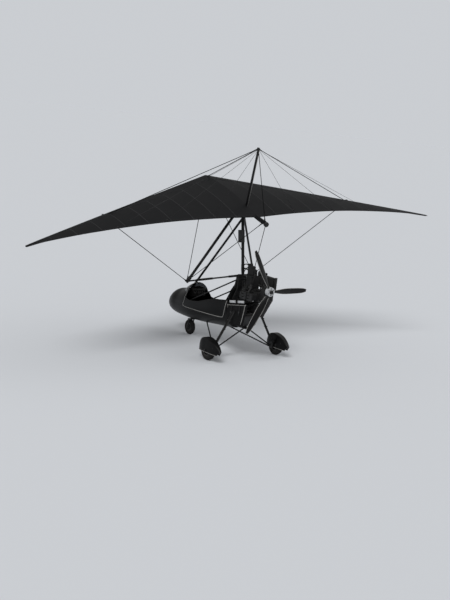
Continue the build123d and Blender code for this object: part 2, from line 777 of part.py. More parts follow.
def main():
    os.makedirs("parts", exist_ok=True)
    mast_tube = mast()
    strut = rod(STRUT_TOP, on_strut(KEEL_FRONT[2] + 58), STRUT_R) - mast_tube
    strut_hole = rod(STRUT_TOP, on_strut(380), STRUT_R + 6)
    keel = trike_keel(mast_tube)
    pod_outer = pod_form(0)
    stub = axle()
    leg = faired_rod(LEG_TOP, LEG_FOOT, 62, 34)
    struts = [subtract(rod(*ends, GEAR_STRUT_R), [keel, stub]) for ends in (DRAG_STRUT, REAR_STRUT)]
    floor_hole = rod(*DRAG_STRUT, GEAR_STRUT_R + 8)
    head_hole = rod(on_head(150), on_head(430), HEAD_R + 8)
    shell = pod(pod_outer, [strut_hole, head_hole, floor_hole, other_side(floor_hole)])
    seats = [front_seat(), rear_seat(mast_tube)]
    tank = fuel_tank(mast_tube)
    mount = engine_mount(mast_tube)
    motor = engine(mount)
    box = gearbox(motor)
    hub, blades, cap = propeller()
    bag = saddle_bag(mount)
    leg -= stub
    leg -= mount
    nose_hub = (WHEELBASE, 0, NOSE_WHEEL_R)
    nose_rim, nose_tyre = wheel(nose_hub, NOSE_WHEEL_R, NOSE_TYRE_W, 74, NOSE_AXLE_R + FIT)
    keep("trike_keel", keel)
    keep("mast", mast_tube)
    keep("mast_sleeve", mast_sleeve(mast_tube))
    keep("front_strut", strut - keel)
    keep("pod", shell)
    keep("windscreen", windscreen(pod_outer, strut_hole))
    keep("dash", dash() - shell)
    keep("front_seat", seats[0] - keel)
    keep("rear_seat", seats[1])
    keep("side_rails", *side_rails(shell))
    keep("seat_frame", *seat_frame(mast_tube, keel, seats))
    keep("fuel_tank", tank - keel)
    keep("left_bag", bag)
    keep("engine_mount", mount)
    keep("engine", motor)
    keep("gearbox", box)
    filter_box = air_box([mast_tube, motor, mount])
    keep("air_box", filter_box)
    keep("radiator", radiator([motor, filter_box]))
    keep("exhaust", exhaust([motor, mount]))
    keep("propeller_hub", hub)
    keep("propeller_blades", *blades)
    keep("propeller_cap", cap)
    keep("left_leg", leg - bag)
    keep("right_leg", other_side(leg))
    keep("left_struts", *struts)
    keep("right_struts", *[other_side(s) for s in struts])
    keep("left_axle", stub)
    keep("right_axle", other_side(stub))
    cover = spat(stub)
    keep("left_spat", cover)
    keep("right_spat", other_side(cover))
    rim, tyre = wheel((0, TRACK / 2, MAIN_WHEEL_R), MAIN_WHEEL_R, MAIN_TYRE_W, 96, AXLE_R + FIT)
    keep("left_rim", rim)
    keep("left_tyre", tyre)
    keep("right_rim", other_side(rim))
    keep("right_tyre", other_side(tyre))
    wing_parts()
    keep("front_fork", front_fork())
    keep("nose_rim", nose_rim)
    keep("nose_tyre", nose_tyre)
    origin = to_origin()
    for name, solids in nodes.items():
        solids = [origin * s for s in solids]
        export_step(Compound(children=solids), f"parts/{name}.step")


main()
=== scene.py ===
"""Dresses the two-seat flexible-wing trike: cloth, paint, rubber, trim and small hardware."""
from math import atan2, cos, pi, radians, sin, tan

import bmesh
import bpy
from bpy.props import FloatProperty, FloatVectorProperty, IntProperty, PointerProperty
from mathutils import Matrix, Vector


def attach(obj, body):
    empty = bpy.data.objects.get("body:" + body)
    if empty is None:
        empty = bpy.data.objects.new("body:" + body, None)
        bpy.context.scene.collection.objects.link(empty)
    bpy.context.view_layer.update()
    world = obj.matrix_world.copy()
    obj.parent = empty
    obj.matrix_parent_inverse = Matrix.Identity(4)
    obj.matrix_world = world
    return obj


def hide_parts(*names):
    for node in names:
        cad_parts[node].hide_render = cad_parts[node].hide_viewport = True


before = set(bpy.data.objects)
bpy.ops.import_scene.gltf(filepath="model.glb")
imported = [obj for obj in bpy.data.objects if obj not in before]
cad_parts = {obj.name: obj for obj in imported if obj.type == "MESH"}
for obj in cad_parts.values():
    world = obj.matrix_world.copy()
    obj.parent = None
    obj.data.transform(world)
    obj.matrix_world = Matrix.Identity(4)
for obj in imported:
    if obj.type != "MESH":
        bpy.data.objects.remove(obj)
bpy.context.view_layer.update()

bl_info = {
    "name": "Flexible-wing trike dressing",
    "version": (1, 0, 0),
    "blender": (4, 5, 0),
    "location": "3D View > Sidebar > Trike",
    "description": "Builds the cloth, paint, trim and small hardware of a two-seat weight-shift trike",
    "category": "Object",
}

# Layout values, in millimetres from the ground point midway between the main wheels
ORIGIN_MOVE = Vector((-0.870822, 0.01966, -0.000047))
MAST_FOOT_X, MAST_FOOT_Z, MAST_LEAN = 50, 450, 10.6
PROP_HUB = (-574, 0, 1351)
TRACK_HALF = 785
WING_PLACE = (439, 0, 2715)
WING_NOSE_UP = 17.1
WING_LEAN = -5.0
HALF_SPAN = 4418
NOSE_X = 1363
SWEEP = 1805
DROOP = 227

FORE, LEFT, UP = Vector((1, 0, 0)), Vector((0, 1, 0)), Vector((0, 0, 1))
SIDES = (1, -1)


def hand(side):
    return "left" if side > 0 else "right"


def at(x, y, z):
    """A layout point in the row's frame, in metres."""
    return Vector((x / 1000, y / 1000, z / 1000)) + ORIGIN_MOVE


def all_at(points, side=1):
    """Layout points in the row's frame, on their own side or mirrored to the other."""
    return [at(x, side * y, z) for x, y, z in points]


WING = (
    Matrix.Translation(at(*WING_PLACE))
    @ Matrix.Rotation(radians(-WING_NOSE_UP), 4, "Y")
    @ Matrix.Rotation(radians(WING_LEAN), 4, "X")
)
WING_AXES = [WING.to_3x3() @ axis for axis in (FORE, LEFT, UP)]


def wing(x, y, z):
    """A point of the wing's own layout in the row's frame, in metres."""
    return WING @ Vector((x / 1000, y / 1000, z / 1000))


def mast_x(z):
    return MAST_FOOT_X + (z - MAST_FOOT_Z) * tan(radians(MAST_LEAN))


# Lines and meshes


def circle(count):
    """The angles of evenly spread points round a circle."""
    return [2 * pi * k / count for k in range(count)]


def smooth_path(corners, steps=6, closed=False):
    """Points on a smooth line through the corners."""
    corners = [Vector(c) for c in corners]
    count = len(corners)
    line = []
    for i in range(count if closed else count - 1):
        p1, p2 = corners[i], corners[(i + 1) % count]
        p0 = corners[(i - 1) % count] if closed or i else p1 * 2 - p2
        p3 = corners[(i + 2) % count] if closed or i + 2 < count else p2 * 2 - p1
        for k in range(steps):
            t = k / steps
            line.append(
                ((p1 * 2) + (p2 - p0) * t + (p0 * 2 - p1 * 5 + p2 * 4 - p3) * t * t
                 + (p1 * 3 - p0 - p2 * 3 + p3) * t * t * t) * 0.5
            )
    if not closed:
        line.append(corners[-1])
    return line


def side_path(corners, steps, closed=False):
    """Points on a smooth line through (x, z) corners, as the side view shows them."""
    return smooth_path([Vector((x, 0, z)) for x, z in corners], steps, closed)


def between_rows(rows, key):
    """The values at a key on a smooth line through rows of (key, values...), the keys rising."""
    i = max(k for k in range(len(rows) - 1) if rows[k][0] <= key or k == 0)
    run = rows[i + 1][0] - rows[i][0]
    t = (key - rows[i][0]) / run
    before, after = rows[max(i - 1, 0)], rows[min(i + 2, len(rows) - 1)]
    values = []
    for k in range(1, len(rows[0])):
        a, b = rows[i][k], rows[i + 1][k]
        first = (b - before[k]) / (rows[i + 1][0] - before[0]) * run
        last = (after[k] - a) / (after[0] - rows[i][0]) * run
        values.append(
            a * (2 * t**3 - 3 * t * t + 1) + first * (t**3 - 2 * t * t + t)
            + b * (3 * t * t - 2 * t**3) + last * (t**3 - t * t)
        )
    return values


def side_axes(direction):
    """Two axes across a direction, the first of them level where it can be."""
    direction = direction.normalized()
    across = UP.cross(direction)
    if across.length < 1e-4:
        across = LEFT.copy()
    across.normalize()
    return across, direction.cross(across)


def keep_mesh(name, points, faces):
    """A new smooth object at the origin with the given points and faces."""
    mesh = bpy.data.meshes.new(name)
    mesh.from_pydata([tuple(p) for p in points], [], faces)
    bm = bmesh.new()
    bm.from_mesh(mesh)
    bmesh.ops.recalc_face_normals(bm, faces=bm.faces)
    bm.to_mesh(mesh)
    bm.free()
    for polygon in mesh.polygons:
        polygon.use_smooth = True
    piece = bpy.data.objects.new(name, mesh)
    bpy.context.collection.objects.link(piece)
    return piece


def grid_faces(rows, columns, wrap_rows=False, wrap_columns=False, first=0):
    """Quads over a grid of points stored row by row."""
    faces = []
    for i in range(rows if wrap_rows else rows - 1):
        for j in range(columns if wrap_columns else columns - 1):
            i2, j2 = (i + 1) % rows, (j + 1) % columns
            corners = (i * columns + j, i * columns + j2, i2 * columns + j2, i2 * columns + j)
            faces.append(tuple(first + k for k in corners))
    return faces


def sleeve_faces(rows, columns, near=True, far=True):
    """Quads round a sleeve of rings, with a cap at its near and far end."""
    faces = grid_faces(rows, columns, wrap_columns=True)
    if near:
        faces.append(tuple(reversed(range(columns))))
    if far:
        faces.append(tuple(range((rows - 1) * columns, rows * columns)))
    return faces


class Build:
    """Gathers several shapes into one piece. Places are in metres, and sizes in millimetres."""

    def __init__(self):
        self.points = []
        self.faces = []

    def add(self, points, faces):
        first = len(self.points)
        self.points += [Vector(p) for p in points]
        self.faces += [tuple(first + k for k in face) for face in faces]
        return self

    def tube(self, path, radius, sides=10, closed=False, squash=1.0):
        """A round tube along a path, or a ring where it is closed."""
        count = len(path)
        points, across = [], None
        for i, p in enumerate(path):
            before = path[(i - 1) % count] if closed or i else p
            after = path[(i + 1) % count] if closed or i + 1 < count else p
            direction = (after - before).normalized()
            if across is None:
                across, _ = side_axes(direction)
            across = (across - direction * across.dot(direction)).normalized()
            up = direction.cross(across) * squash
            points += [p + (across * cos(a) + up * sin(a)) * radius / 1000 for a in circle(sides)]
        faces = grid_faces(count, sides, True, True) if closed else sleeve_faces(count, sides)
        return self.add(points, faces)

    def turned(self, centre, axis, profile, sides=24):
        """A profile of (radius, distance along the axis) turned about it."""
        axis = Vector(axis).normalized()
        across, up = side_axes(axis)
        points = []
        for r, d in profile:
            ring = [(across * cos(a) + up * sin(a)) * r for a in circle(sides)]
            points += [centre + (axis * d + reach) / 1000 for reach in ring]
        return self.add(points, sleeve_faces(len(profile), sides, profile[0][0] > 0, profile[-1][0] > 0))

    def slab(self, centre, axes, half, bevel=0.0):
        """A box on three axes, its edges and corners cut back by bevel."""
        bm = bmesh.new()
        bmesh.ops.create_cube(bm, size=2)
        bmesh.ops.scale(bm, vec=Vector(half) / 1000, verts=bm.verts)
        if bevel:
            bmesh.ops.bevel(bm, geom=bm.edges, offset=bevel / 1000, segments=2, profile=0.5, affect="EDGES")
        bm.verts.index_update()
        x, y, z = axes
        points = [centre + x * v.co.x + y * v.co.y + z * v.co.z for v in bm.verts]
        faces = [tuple(v.index for v in f.verts) for f in bm.faces]
        bm.free()
        return self.add(points, faces)

    def block(self, place, half, bevel=0.0):
        """A level box about a layout point."""
        return self.slab(at(*place), (FORE, LEFT, UP), half, bevel)

    def bolt(self, place, axis, size):
        """A hexagon head with a washer, standing on a face."""
        self.turned(place, axis, [(size * 1.15, 0), (size * 1.15, size * 0.16)], 20)
        head = [(size * 0.92, size * 0.16), (size * 0.92, size * 0.66), (size * 0.78, size * 0.78)]
        return self.turned(place, axis, head, 6)

    def strap(self, path, half_width, half_thickness, normal=None, steps=8):
        """A flat strap along a path, its width fore and aft, or across a normal to its face."""
        line = smooth_path(path, steps)
        for i, p in enumerate(line):
            run = (line[min(i + 1, len(line) - 1)] - line[max(i - 1, 0)]).normalized()
            across = run.cross(normal).normalized() if normal else FORE
            out = across.cross(run).normalized() * half_thickness / 1000
            wide = across * half_width / 1000
            self.points += [p - wide - out, p - wide + out, p + wide + out, p + wide - out]
        first = len(self.points) - 4 * len(line)
        self.faces += [tuple(first + k for k in face) for face in sleeve_faces(len(line), 4)]
        return self

    def piece(self, name):
        return keep_mesh(name, self.points, self.faces)

    def fit(self, name, finish_name, slot, body="trike", *replaced):
        """The gathered shapes as a fitted piece."""
        return fit(self.piece(name), finish_name, slot, body, *replaced)


def modify(piece, name, kind, **values):
    """Give a piece a modifier with its values."""
    modifier = piece.modifiers.new(name, kind)
    for key, value in values.items():
        setattr(modifier, key, value)
    return piece


def soften(piece, width):
    """A small bevel on sharp edges, with smooth shading elsewhere."""
    return modify(piece, "Edge", "BEVEL", width=width / 1000, segments=3, limit_method="ANGLE",
                  angle_limit=radians(30), harden_normals=True)


def coat(piece, finish_name):
    piece.data.materials.clear()
    piece.data.materials.append(MATERIALS[finish_name])


def fit(piece, finish_name, slot, body="trike", *replaced):
    """Give a piece its finish, attach it to its body, and hide the CAD nodes it stands for. The slot is not
    used.
    """
    coat(piece, finish_name)
    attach(piece, body)
    if replaced:
        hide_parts(*replaced)
    return piece


# Shader groups that several finishes share


def new_group(name, inputs, outputs):
    """An empty shader group with float inputs (name, default) and outputs, and its two end nodes."""
    group = bpy.data.node_groups.new(name, "ShaderNodeTree")
    for label, default in inputs:
        socket = group.interface.new_socket(name=label, in_out="INPUT", socket_type="NodeSocketFloat")
        socket.default_value = default
    for label in outputs:
        group.interface.new_socket(name=label, in_out="OUTPUT", socket_type="NodeSocketFloat")
    start = group.nodes.new("NodeGroupInput")
    end = group.nodes.new("NodeGroupOutput")
    return group, start, end


def node(tree, kind, settings=(), **inputs):
    """A node with settings, and its inputs set to values or linked to sockets."""
    made = tree.nodes.new("ShaderNode" + kind)
    for key, value in dict(settings).items():
        setattr(made, key, value)
    for key, value in inputs.items():
        numbered = key[0] == "i" and key[1:].isdigit()
        socket = made.inputs[int(key[1:]) if numbered else key.replace("_", " ")]
        if isinstance(value, bpy.types.NodeSocket):
            tree.links.new(value, socket)
        else:
            socket.default_value = value
    return made


def math(tree, operation, first, second=0.0, clamp=False):
    settings = {"operation": operation, "use_clamp": clamp}
    return node(tree, "Math", settings, i0=first, i1=second).outputs[0]


def noise(tree, place, scale, detail=3.0, roughness=0.55):
    made = node(tree, "TexNoise", Vector=place, Scale=scale, Detail=detail, Roughness=roughness)
    return made.outputs["Fac"]


def weave_group():
    """Two crossed sets of threads, with a heavier thread every few to stop tears."""
    group, start, end = new_group("Cloth weave", [("Threads", 5200.0), ("Ribs", 420.0)], ["Height", "Tone"])
    place = node(group, "TexCoord").outputs["Object"]
    x, y, z = node(group, "SeparateXYZ", Vector=place).outputs
    across = math(group, "ADD", x, z)
    threads, ribs = [], []
    for line in (across, y):
        wave = math(group, "SINE", math(group, "MULTIPLY", line, start.outputs["Threads"]))
        threads.append(math(group, "ABSOLUTE", wave))
        rib = math(group, "SINE", math(group, "MULTIPLY", line, start.outputs["Ribs"]))
        ribs.append(math(group, "POWER", math(group, "ABSOLUTE", rib), 24.0))
    height = math(group, "MULTIPLY", math(group, "ADD", *threads), 0.35)
    rib = math(group, "MAXIMUM", *ribs)
    group.links.new(math(group, "ADD", height, rib), end.inputs["Height"])
    soft = noise(group, place, 2.2, 4.0)
    tone = math(group, "ADD", math(group, "MULTIPLY", soft, 0.7), math(group, "MULTIPLY", rib, 0.12))
    group.links.new(tone, end.inputs["Tone"])
    return group


def grain_group():
    """The fine orange peel of a coating, and slow changes of tone over it."""
    group, start, end = new_group("Coating grain", [("Size", 900.0), ("Patch size", 5.0)], ["Height", "Tone"])
    place = node(group, "TexCoord").outputs["Object"]
    group.links.new(noise(group, place, start.outputs["Size"], 2.0), end.inputs["Height"])
    group.links.new(noise(group, place, start.outputs["Patch size"], 5.0, 0.6), end.inputs["Tone"])
    return group


def wear_group():
    """Rubbed edges: where a rounded normal leaves the true one, broken up by noise."""
    group, start, end = new_group("Edge wear", [("Width", 0.004), ("Amount", 0.6)], ["Mask"])
    rounded = node(group, "Bevel", {"samples": 4}, Radius=start.outputs["Width"]).outputs["Normal"]
    true = node(group, "NewGeometry").outputs["Normal"]
    dot = node(group, "VectorMath", {"operation": "DOT_PRODUCT"}, i0=rounded, i1=true).outputs["Value"]
    edge = math(group, "MULTIPLY", math(group, "SUBTRACT", 1.0, dot), 9.0, True)
    place = node(group, "TexCoord").outputs["Object"]
    broken = math(group, "MULTIPLY", math(group, "SUBTRACT", noise(group, place, 60.0, 4.0), 0.42), 5.0, True)
    worn = math(group, "MULTIPLY", math(group, "MULTIPLY", edge, broken), start.outputs["Amount"], True)
    group.links.new(worn, end.inputs["Mask"])
    return group


def dust_group():
    """Dust that settles on what faces up, thicker near the ground."""
    group, start, end = new_group("Settled dust", [("Amount", 0.3), ("Height reach", 0.7)], ["Mask"])
    geometry = node(group, "NewGeometry").outputs
    up = node(group, "SeparateXYZ", Vector=geometry["Normal"]).outputs[2]
    place = node(group, "TexCoord").outputs["Object"]
    tall = node(group, "SeparateXYZ", Vector=place).outputs[2]
    low = math(group, "SUBTRACT", 1.0, math(group, "DIVIDE", tall, start.outputs["Height reach"]), True)
    facing = math(group, "MULTIPLY", math(group, "ADD", up, 0.25), 0.8, True)
    patchy = math(group, "MULTIPLY", noise(group, place, 14.0, 6.0, 0.65), 1.4)
    cover = math(group, "MULTIPLY", math(group, "ADD", facing, low), patchy)
    group.links.new(math(group, "MULTIPLY", cover, start.outputs["Amount"], True), end.inputs["Mask"])
    return group


GROUPS = {}
MATERIALS = {}
DUST_COLOR = (0.042, 0.040, 0.037, 1.0)


def placed(tree, name, **values):
    """One of the shared groups, placed in a material with its own values."""
    made = tree.nodes.new("ShaderNodeGroup")
    made.node_tree = GROUPS[name]
    for key, value in values.items():
        made.inputs[key.replace("_", " ")].default_value = value
    return made.outputs


def finish(name, color, worn, rough, spread, tone, bump, height="grain", depth=0.001, wear=0.0, dust=0.15,
           gloss=0.5, groups=None, **fixed):
    """A coated or woven finish: colour drift, worn edges, dust and a bump, each from its group."""
    material = bpy.data.materials.new(name)
    material.use_nodes = True
    tree = material.node_tree
    shader = tree.nodes["Principled BSDF"]
    source = placed(tree, height, **(groups or {}))
    color, worn = (*color[:3], 1.0), (*worn[:3], 1.0)
    drift = math(tree, "MULTIPLY", source["Tone"], tone, True)
    paler = tuple(min(1.0, c * 1.5 + 0.004) for c in color[:3]) + (1.0,)
    mixed = node(tree, "Mix", {"data_type": "RGBA"}, i0=drift, i6=color, i7=paler).outputs[2]
    roughness = math(tree, "ADD", math(tree, "MULTIPLY", source["Tone"], spread), rough - spread / 2)
    if wear:
        mask = placed(tree, "wear", Amount=wear)["Mask"]
        mixed = node(tree, "Mix", {"data_type": "RGBA"}, i0=mask, i6=mixed, i7=worn).outputs[2]
    if dust:
        mask = placed(tree, "dust", Amount=dust)["Mask"]
        mixed = node(tree, "Mix", {"data_type": "RGBA"}, i0=mask, i6=mixed, i7=DUST_COLOR).outputs[2]
        roughness = math(tree, "ADD", roughness, math(tree, "MULTIPLY", mask, 0.4), True)
    tree.links.new(mixed, shader.inputs["Base Color"])
    tree.links.new(roughness, shader.inputs["Roughness"])
    if bump:
        raised = node(tree, "Bump", Strength=bump, Distance=depth, Height=source["Height"]).outputs["Normal"]
        tree.links.new(raised, shader.inputs["Normal"])
    for key, value in {"Specular_IOR_Level": gloss, **fixed}.items():
        shader.inputs[key.replace("_", " ")].default_value = value
    MATERIALS[name] = material


# Sizes and colours that a user would change


class SailSettings(bpy.types.PropertyGroup):
    cloth: FloatVectorProperty(
        name="Sailcloth", description="Colour of the wing's cloth", subtype="COLOR",
        default=(0.0022, 0.0025, 0.0032)
    )
    seam: FloatVectorProperty(
        name="Seam", description="Colour of the seams' thread and tape", subtype="COLOR",
        default=(0.012, 0.0125, 0.014)
    )
    battens: IntProperty(
        name="Battens", description="Battens in each half of the wing", default=9, min=4, max=14
    )
    hollow: FloatProperty(
        name="Hollow", description="How far the cloth sinks between two battens", default=0.004, unit="LENGTH"
    )


class PaintSettings(bpy.types.PropertyGroup):
    tubes: FloatVectorProperty(
        name="Tubes", description="Powder coat of the frame", subtype="COLOR",
        default=(0.0022, 0.0023, 0.0026)
    )
    shell: FloatVectorProperty(
        name="Shell", description="Gel coat of the pod and spats", subtype="COLOR",
        default=(0.0016, 0.0017, 0.0019)
    )
    trim: FloatVectorProperty(
        name="Trim", description="Pale lines, piping and edges", subtype="COLOR",
        default=(0.27, 0.265, 0.255)
    )
    bare_metal: FloatVectorProperty(
        name="Bare metal", description="Metal where paint has rubbed off", subtype="COLOR",
        default=(0.07, 0.07, 0.073)
    )


class StageSettings(bpy.types.PropertyGroup):
    floor: FloatVectorProperty(
        name="Floor", description="Colour of the studio floor", subtype="COLOR",
        default=(0.60, 0.62, 0.65)
    )
    key: FloatProperty(name="Key light", description="Strength of the key light", default=1.9, min=0.0)
    fill: FloatProperty(name="Fill light", description="Strength of the fill light", default=0.7, min=0.0)
    sky: FloatProperty(
        name="Sky", description="Strength of the even light from all round", default=0.42, min=0.0
    )
    lens: FloatProperty(
        name="Lens", description="Focal length on a 36 mm tall sensor", default=57.67, unit="CAMERA"
    )


class TrikeSettings(bpy.types.PropertyGroup):
    sail: PointerProperty(type=SailSettings, name="Sail", description="The wing's cloth")
    paint: PointerProperty(type=PaintSettings, name="Paint", description="Paint, gel coat and trim")
    stage: PointerProperty(type=StageSettings, name="Stage", description="Floor, lamps and camera")


def settings():
    return bpy.context.scene.trike


class TRIKE_OT_finishes(bpy.types.Operator):
    """Mix every finish and put it on the CAD nodes that stay in view"""

    bl_idname = "trike.finishes"
    bl_label = "Finishes"

    NODES = {
        "frame_tube": ("trike_keel", "mast", "front_strut", "side_rails", "seat_frame", "engine_mount",
                       "left_leg", "right_leg", "left_struts", "right_struts"),
        "fitting": ("mast_sleeve", "left_axle", "right_axle", "front_fork", "propeller_cap", "hang_block"),
        "shell": ("pod", "left_spat", "right_spat"),
        "screen": ("windscreen",),
        "moulded": ("dash", "air_box"),
        "tank": ("fuel_tank",),
        "seat": ("front_seat", "rear_seat"),
        "bag": ("left_bag",),
        "casting": ("engine", "gearbox", "radiator"),
        "exhaust": ("exhaust",),
        "wheel": ("nose_rim", "left_rim", "right_rim"),
        "tyre": ("nose_tyre", "left_tyre", "right_tyre"),
        "blade": ("propeller_blades",),
        "hub_plate": ("propeller_hub",),
        "wing_tube": ("wing_keel", "king_post", "left_upright", "right_upright", "base_bar"),
        "sail": ("left_sail", "right_sail", "keel_pocket"),
        "wire": ("left_wires", "right_wires", "upper_wires"),
    }

    def cloths(self, sail):
        """What is woven: sailcloth, its seams, the seats' and the bag's covers, and webbing."""
        weave = {"height": "weave", "depth": 0.0006}
        finish("sail", sail.cloth, sail.seam, 0.66, 0.16, 0.4, 0.06, dust=0.02, gloss=0.14, **weave)
        finish("seam", sail.seam, sail.seam, 0.6, 0.1, 0.3, 0.2, dust=0.02, gloss=0.2, **weave)
        finish("seat", (0.0025, 0.0026, 0.003), sail.seam, 0.8, 0.1, 0.5, 0.5, dust=0.03, gloss=0.1,
               Sheen_Weight=0.04, groups={"Threads": 2600.0, "Ribs": 300.0}, **weave)
        finish("bag", (0.0022, 0.0023, 0.0026), sail.seam, 0.7, 0.14, 0.5, 0.5, dust=0.04, gloss=0.12,
               Sheen_Weight=0.03, groups={"Threads": 2000.0, "Ribs": 240.0}, **weave)
        finish("webbing", (0.008, 0.0083, 0.009), sail.seam, 0.7, 0.1, 0.4, 0.5, dust=0.04, gloss=0.2,
               groups={"Threads": 3600.0, "Ribs": 520.0}, **weave)

    def metals(self, paint):
        """What shows bare metal where it wears."""
        bare = paint.bare_metal
        finish("frame_tube", paint.tubes, bare, 0.45, 0.16, 0.25, 0.05, wear=0.5, dust=0.06, gloss=0.22)
        finish("fitting", (0.006, 0.0062, 0.0067), bare, 0.38, 0.2, 0.3, 0.08, wear=0.7, dust=0.12, gloss=0.4)
        finish("casting", (0.006, 0.006, 0.0064), bare, 0.5, 0.2, 0.4, 0.4, wear=0.6, gloss=0.4)
        finish("exhaust", (0.010, 0.009, 0.0085), (0.05, 0.04, 0.034), 0.5, 0.3, 0.8, 0.3, wear=0.5,
               dust=0.12, Metallic=0.3)
        finish("wheel", (0.008, 0.0082, 0.0088), bare, 0.4, 0.2, 0.3, 0.1, wear=0.7, dust=0.25, gloss=0.4)
        finish("blade", (0.0018, 0.0019, 0.0021), bare, 0.42, 0.12, 0.2, 0.05, wear=0.3, dust=0.02, gloss=0.2)
        finish("hub_plate", (0.40, 0.41, 0.42), bare, 0.4, 0.15, 0.3, 0.05, wear=0.3, dust=0.08)
        finish("wing_tube", (0.003, 0.0032, 0.0037), bare, 0.36, 0.14, 0.2, 0.04, wear=0.4, dust=0.04,
               gloss=0.35)
        finish("wire", (0.006, 0.006, 0.0064), bare, 0.45, 0.15, 0.4, 0.2, dust=0.0, gloss=0.4)
        finish("cable", (0.0014, 0.0014, 0.0015), bare, 0.6, 0.1, 0.3, 0.1, dust=0.0, gloss=0.1)

    def plastics(self, paint):
        """Gel coat, trim, mouldings, rubber, dials and the screen."""
        scuffed = (0.02, 0.02, 0.02)
        finish("shell", paint.shell, paint.shell, 0.38, 0.08, 0.2, 0.02, dust=0.02, gloss=0.12,
               Coat_Weight=0.05, Coat_Roughness=0.15)
        finish("trim", paint.trim, paint.trim, 0.5, 0.1, 0.3, 0.1, dust=0.05)
        finish("moulded", (0.005, 0.005, 0.0053), scuffed, 0.62, 0.15, 0.3, 0.3, depth=0.0008, wear=0.3,
               gloss=0.25)
        finish("tank", (0.006, 0.0062, 0.0066), scuffed, 0.45, 0.12, 0.3, 0.15, wear=0.2, gloss=0.35)
        finish("tyre", (0.005, 0.005, 0.0052), scuffed, 0.82, 0.12, 0.5, 0.4, dust=0.35, gloss=0.2)
        finish("rubber_hose", (0.004, 0.004, 0.0042), scuffed, 0.6, 0.2, 0.4, 0.2, dust=0.08, gloss=0.25)
        finish("dial", (0.002, 0.002, 0.0022), scuffed, 0.25, 0.05, 0.1, 0.0, dust=0.0)
        finish("screen", (0.05, 0.053, 0.058), paint.trim, 0.06, 0.04, 0.2, 0.0, dust=0.0,
               Transmission_Weight=0.85, IOR=1.2)

    def execute(self, context):
        GROUPS.update(weave=weave_group(), grain=grain_group(), wear=wear_group(), dust=dust_group())
        self.cloths(settings().sail)
        self.metals(settings().paint)
        self.plastics(settings().paint)
        for name, cad_nodes in self.NODES.items():
            for cad_node in cad_nodes:
                coat(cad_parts[cad_node], name)
        return {"FINISHED"}


# The wing's sections as in the solids: distance from the keel, trailing edge, lift, edge radius, camber
SAIL_SECTIONS = (
    (0, -455, 16, 34, 1.0),
    (900, -405, 66, 34, 0.95),
    (2000, -382, 98, 32, 0.85),
    (3200, -400, 82, 27, 0.7),
    (4060, -436, 40, 20, 0.6),
    (4400, -478, 10, 13, 0.5),
)
UPPER_CAMBER = 0.040
LOWER_CAMBER = 0.014
# Half the sail's thickness at the trailing edge, and how far it reaches from the keel
EDGE = 4
TIP = 4398


def section_at(y):
    """Trailing edge, lift, edge radius and camber at a distance from the keel, on a smooth line."""
    return between_rows(SAIL_SECTIONS, y)


def leading_edge(y):
    """The leading edge tube's axis, in the wing's layout."""
    return (NOSE_X - SWEEP * abs(y) / HALF_SPAN, y, -DROOP * abs(y) / HALF_SPAN)


def sail_point(y, share, side, top=True, lift=0.0):
    """A point on the upper or lower skin: share runs from the leading edge's crest to the trailing edge."""
    te_x, te_lift, radius, camber = section_at(y)
    x, _, z = leading_edge(y)
    chord = x - te_x
    sign = 1 if top else -1
    start, end = z + sign * radius, z + te_lift + sign * EDGE
    bulge = (UPPER_CAMBER if top else LOWER_CAMBER) * camber * chord
    height = start + (end - start) * share + 4 * bulge * share * (1 - share)
    return wing(x - chord * share, side * y, height + sign * lift)


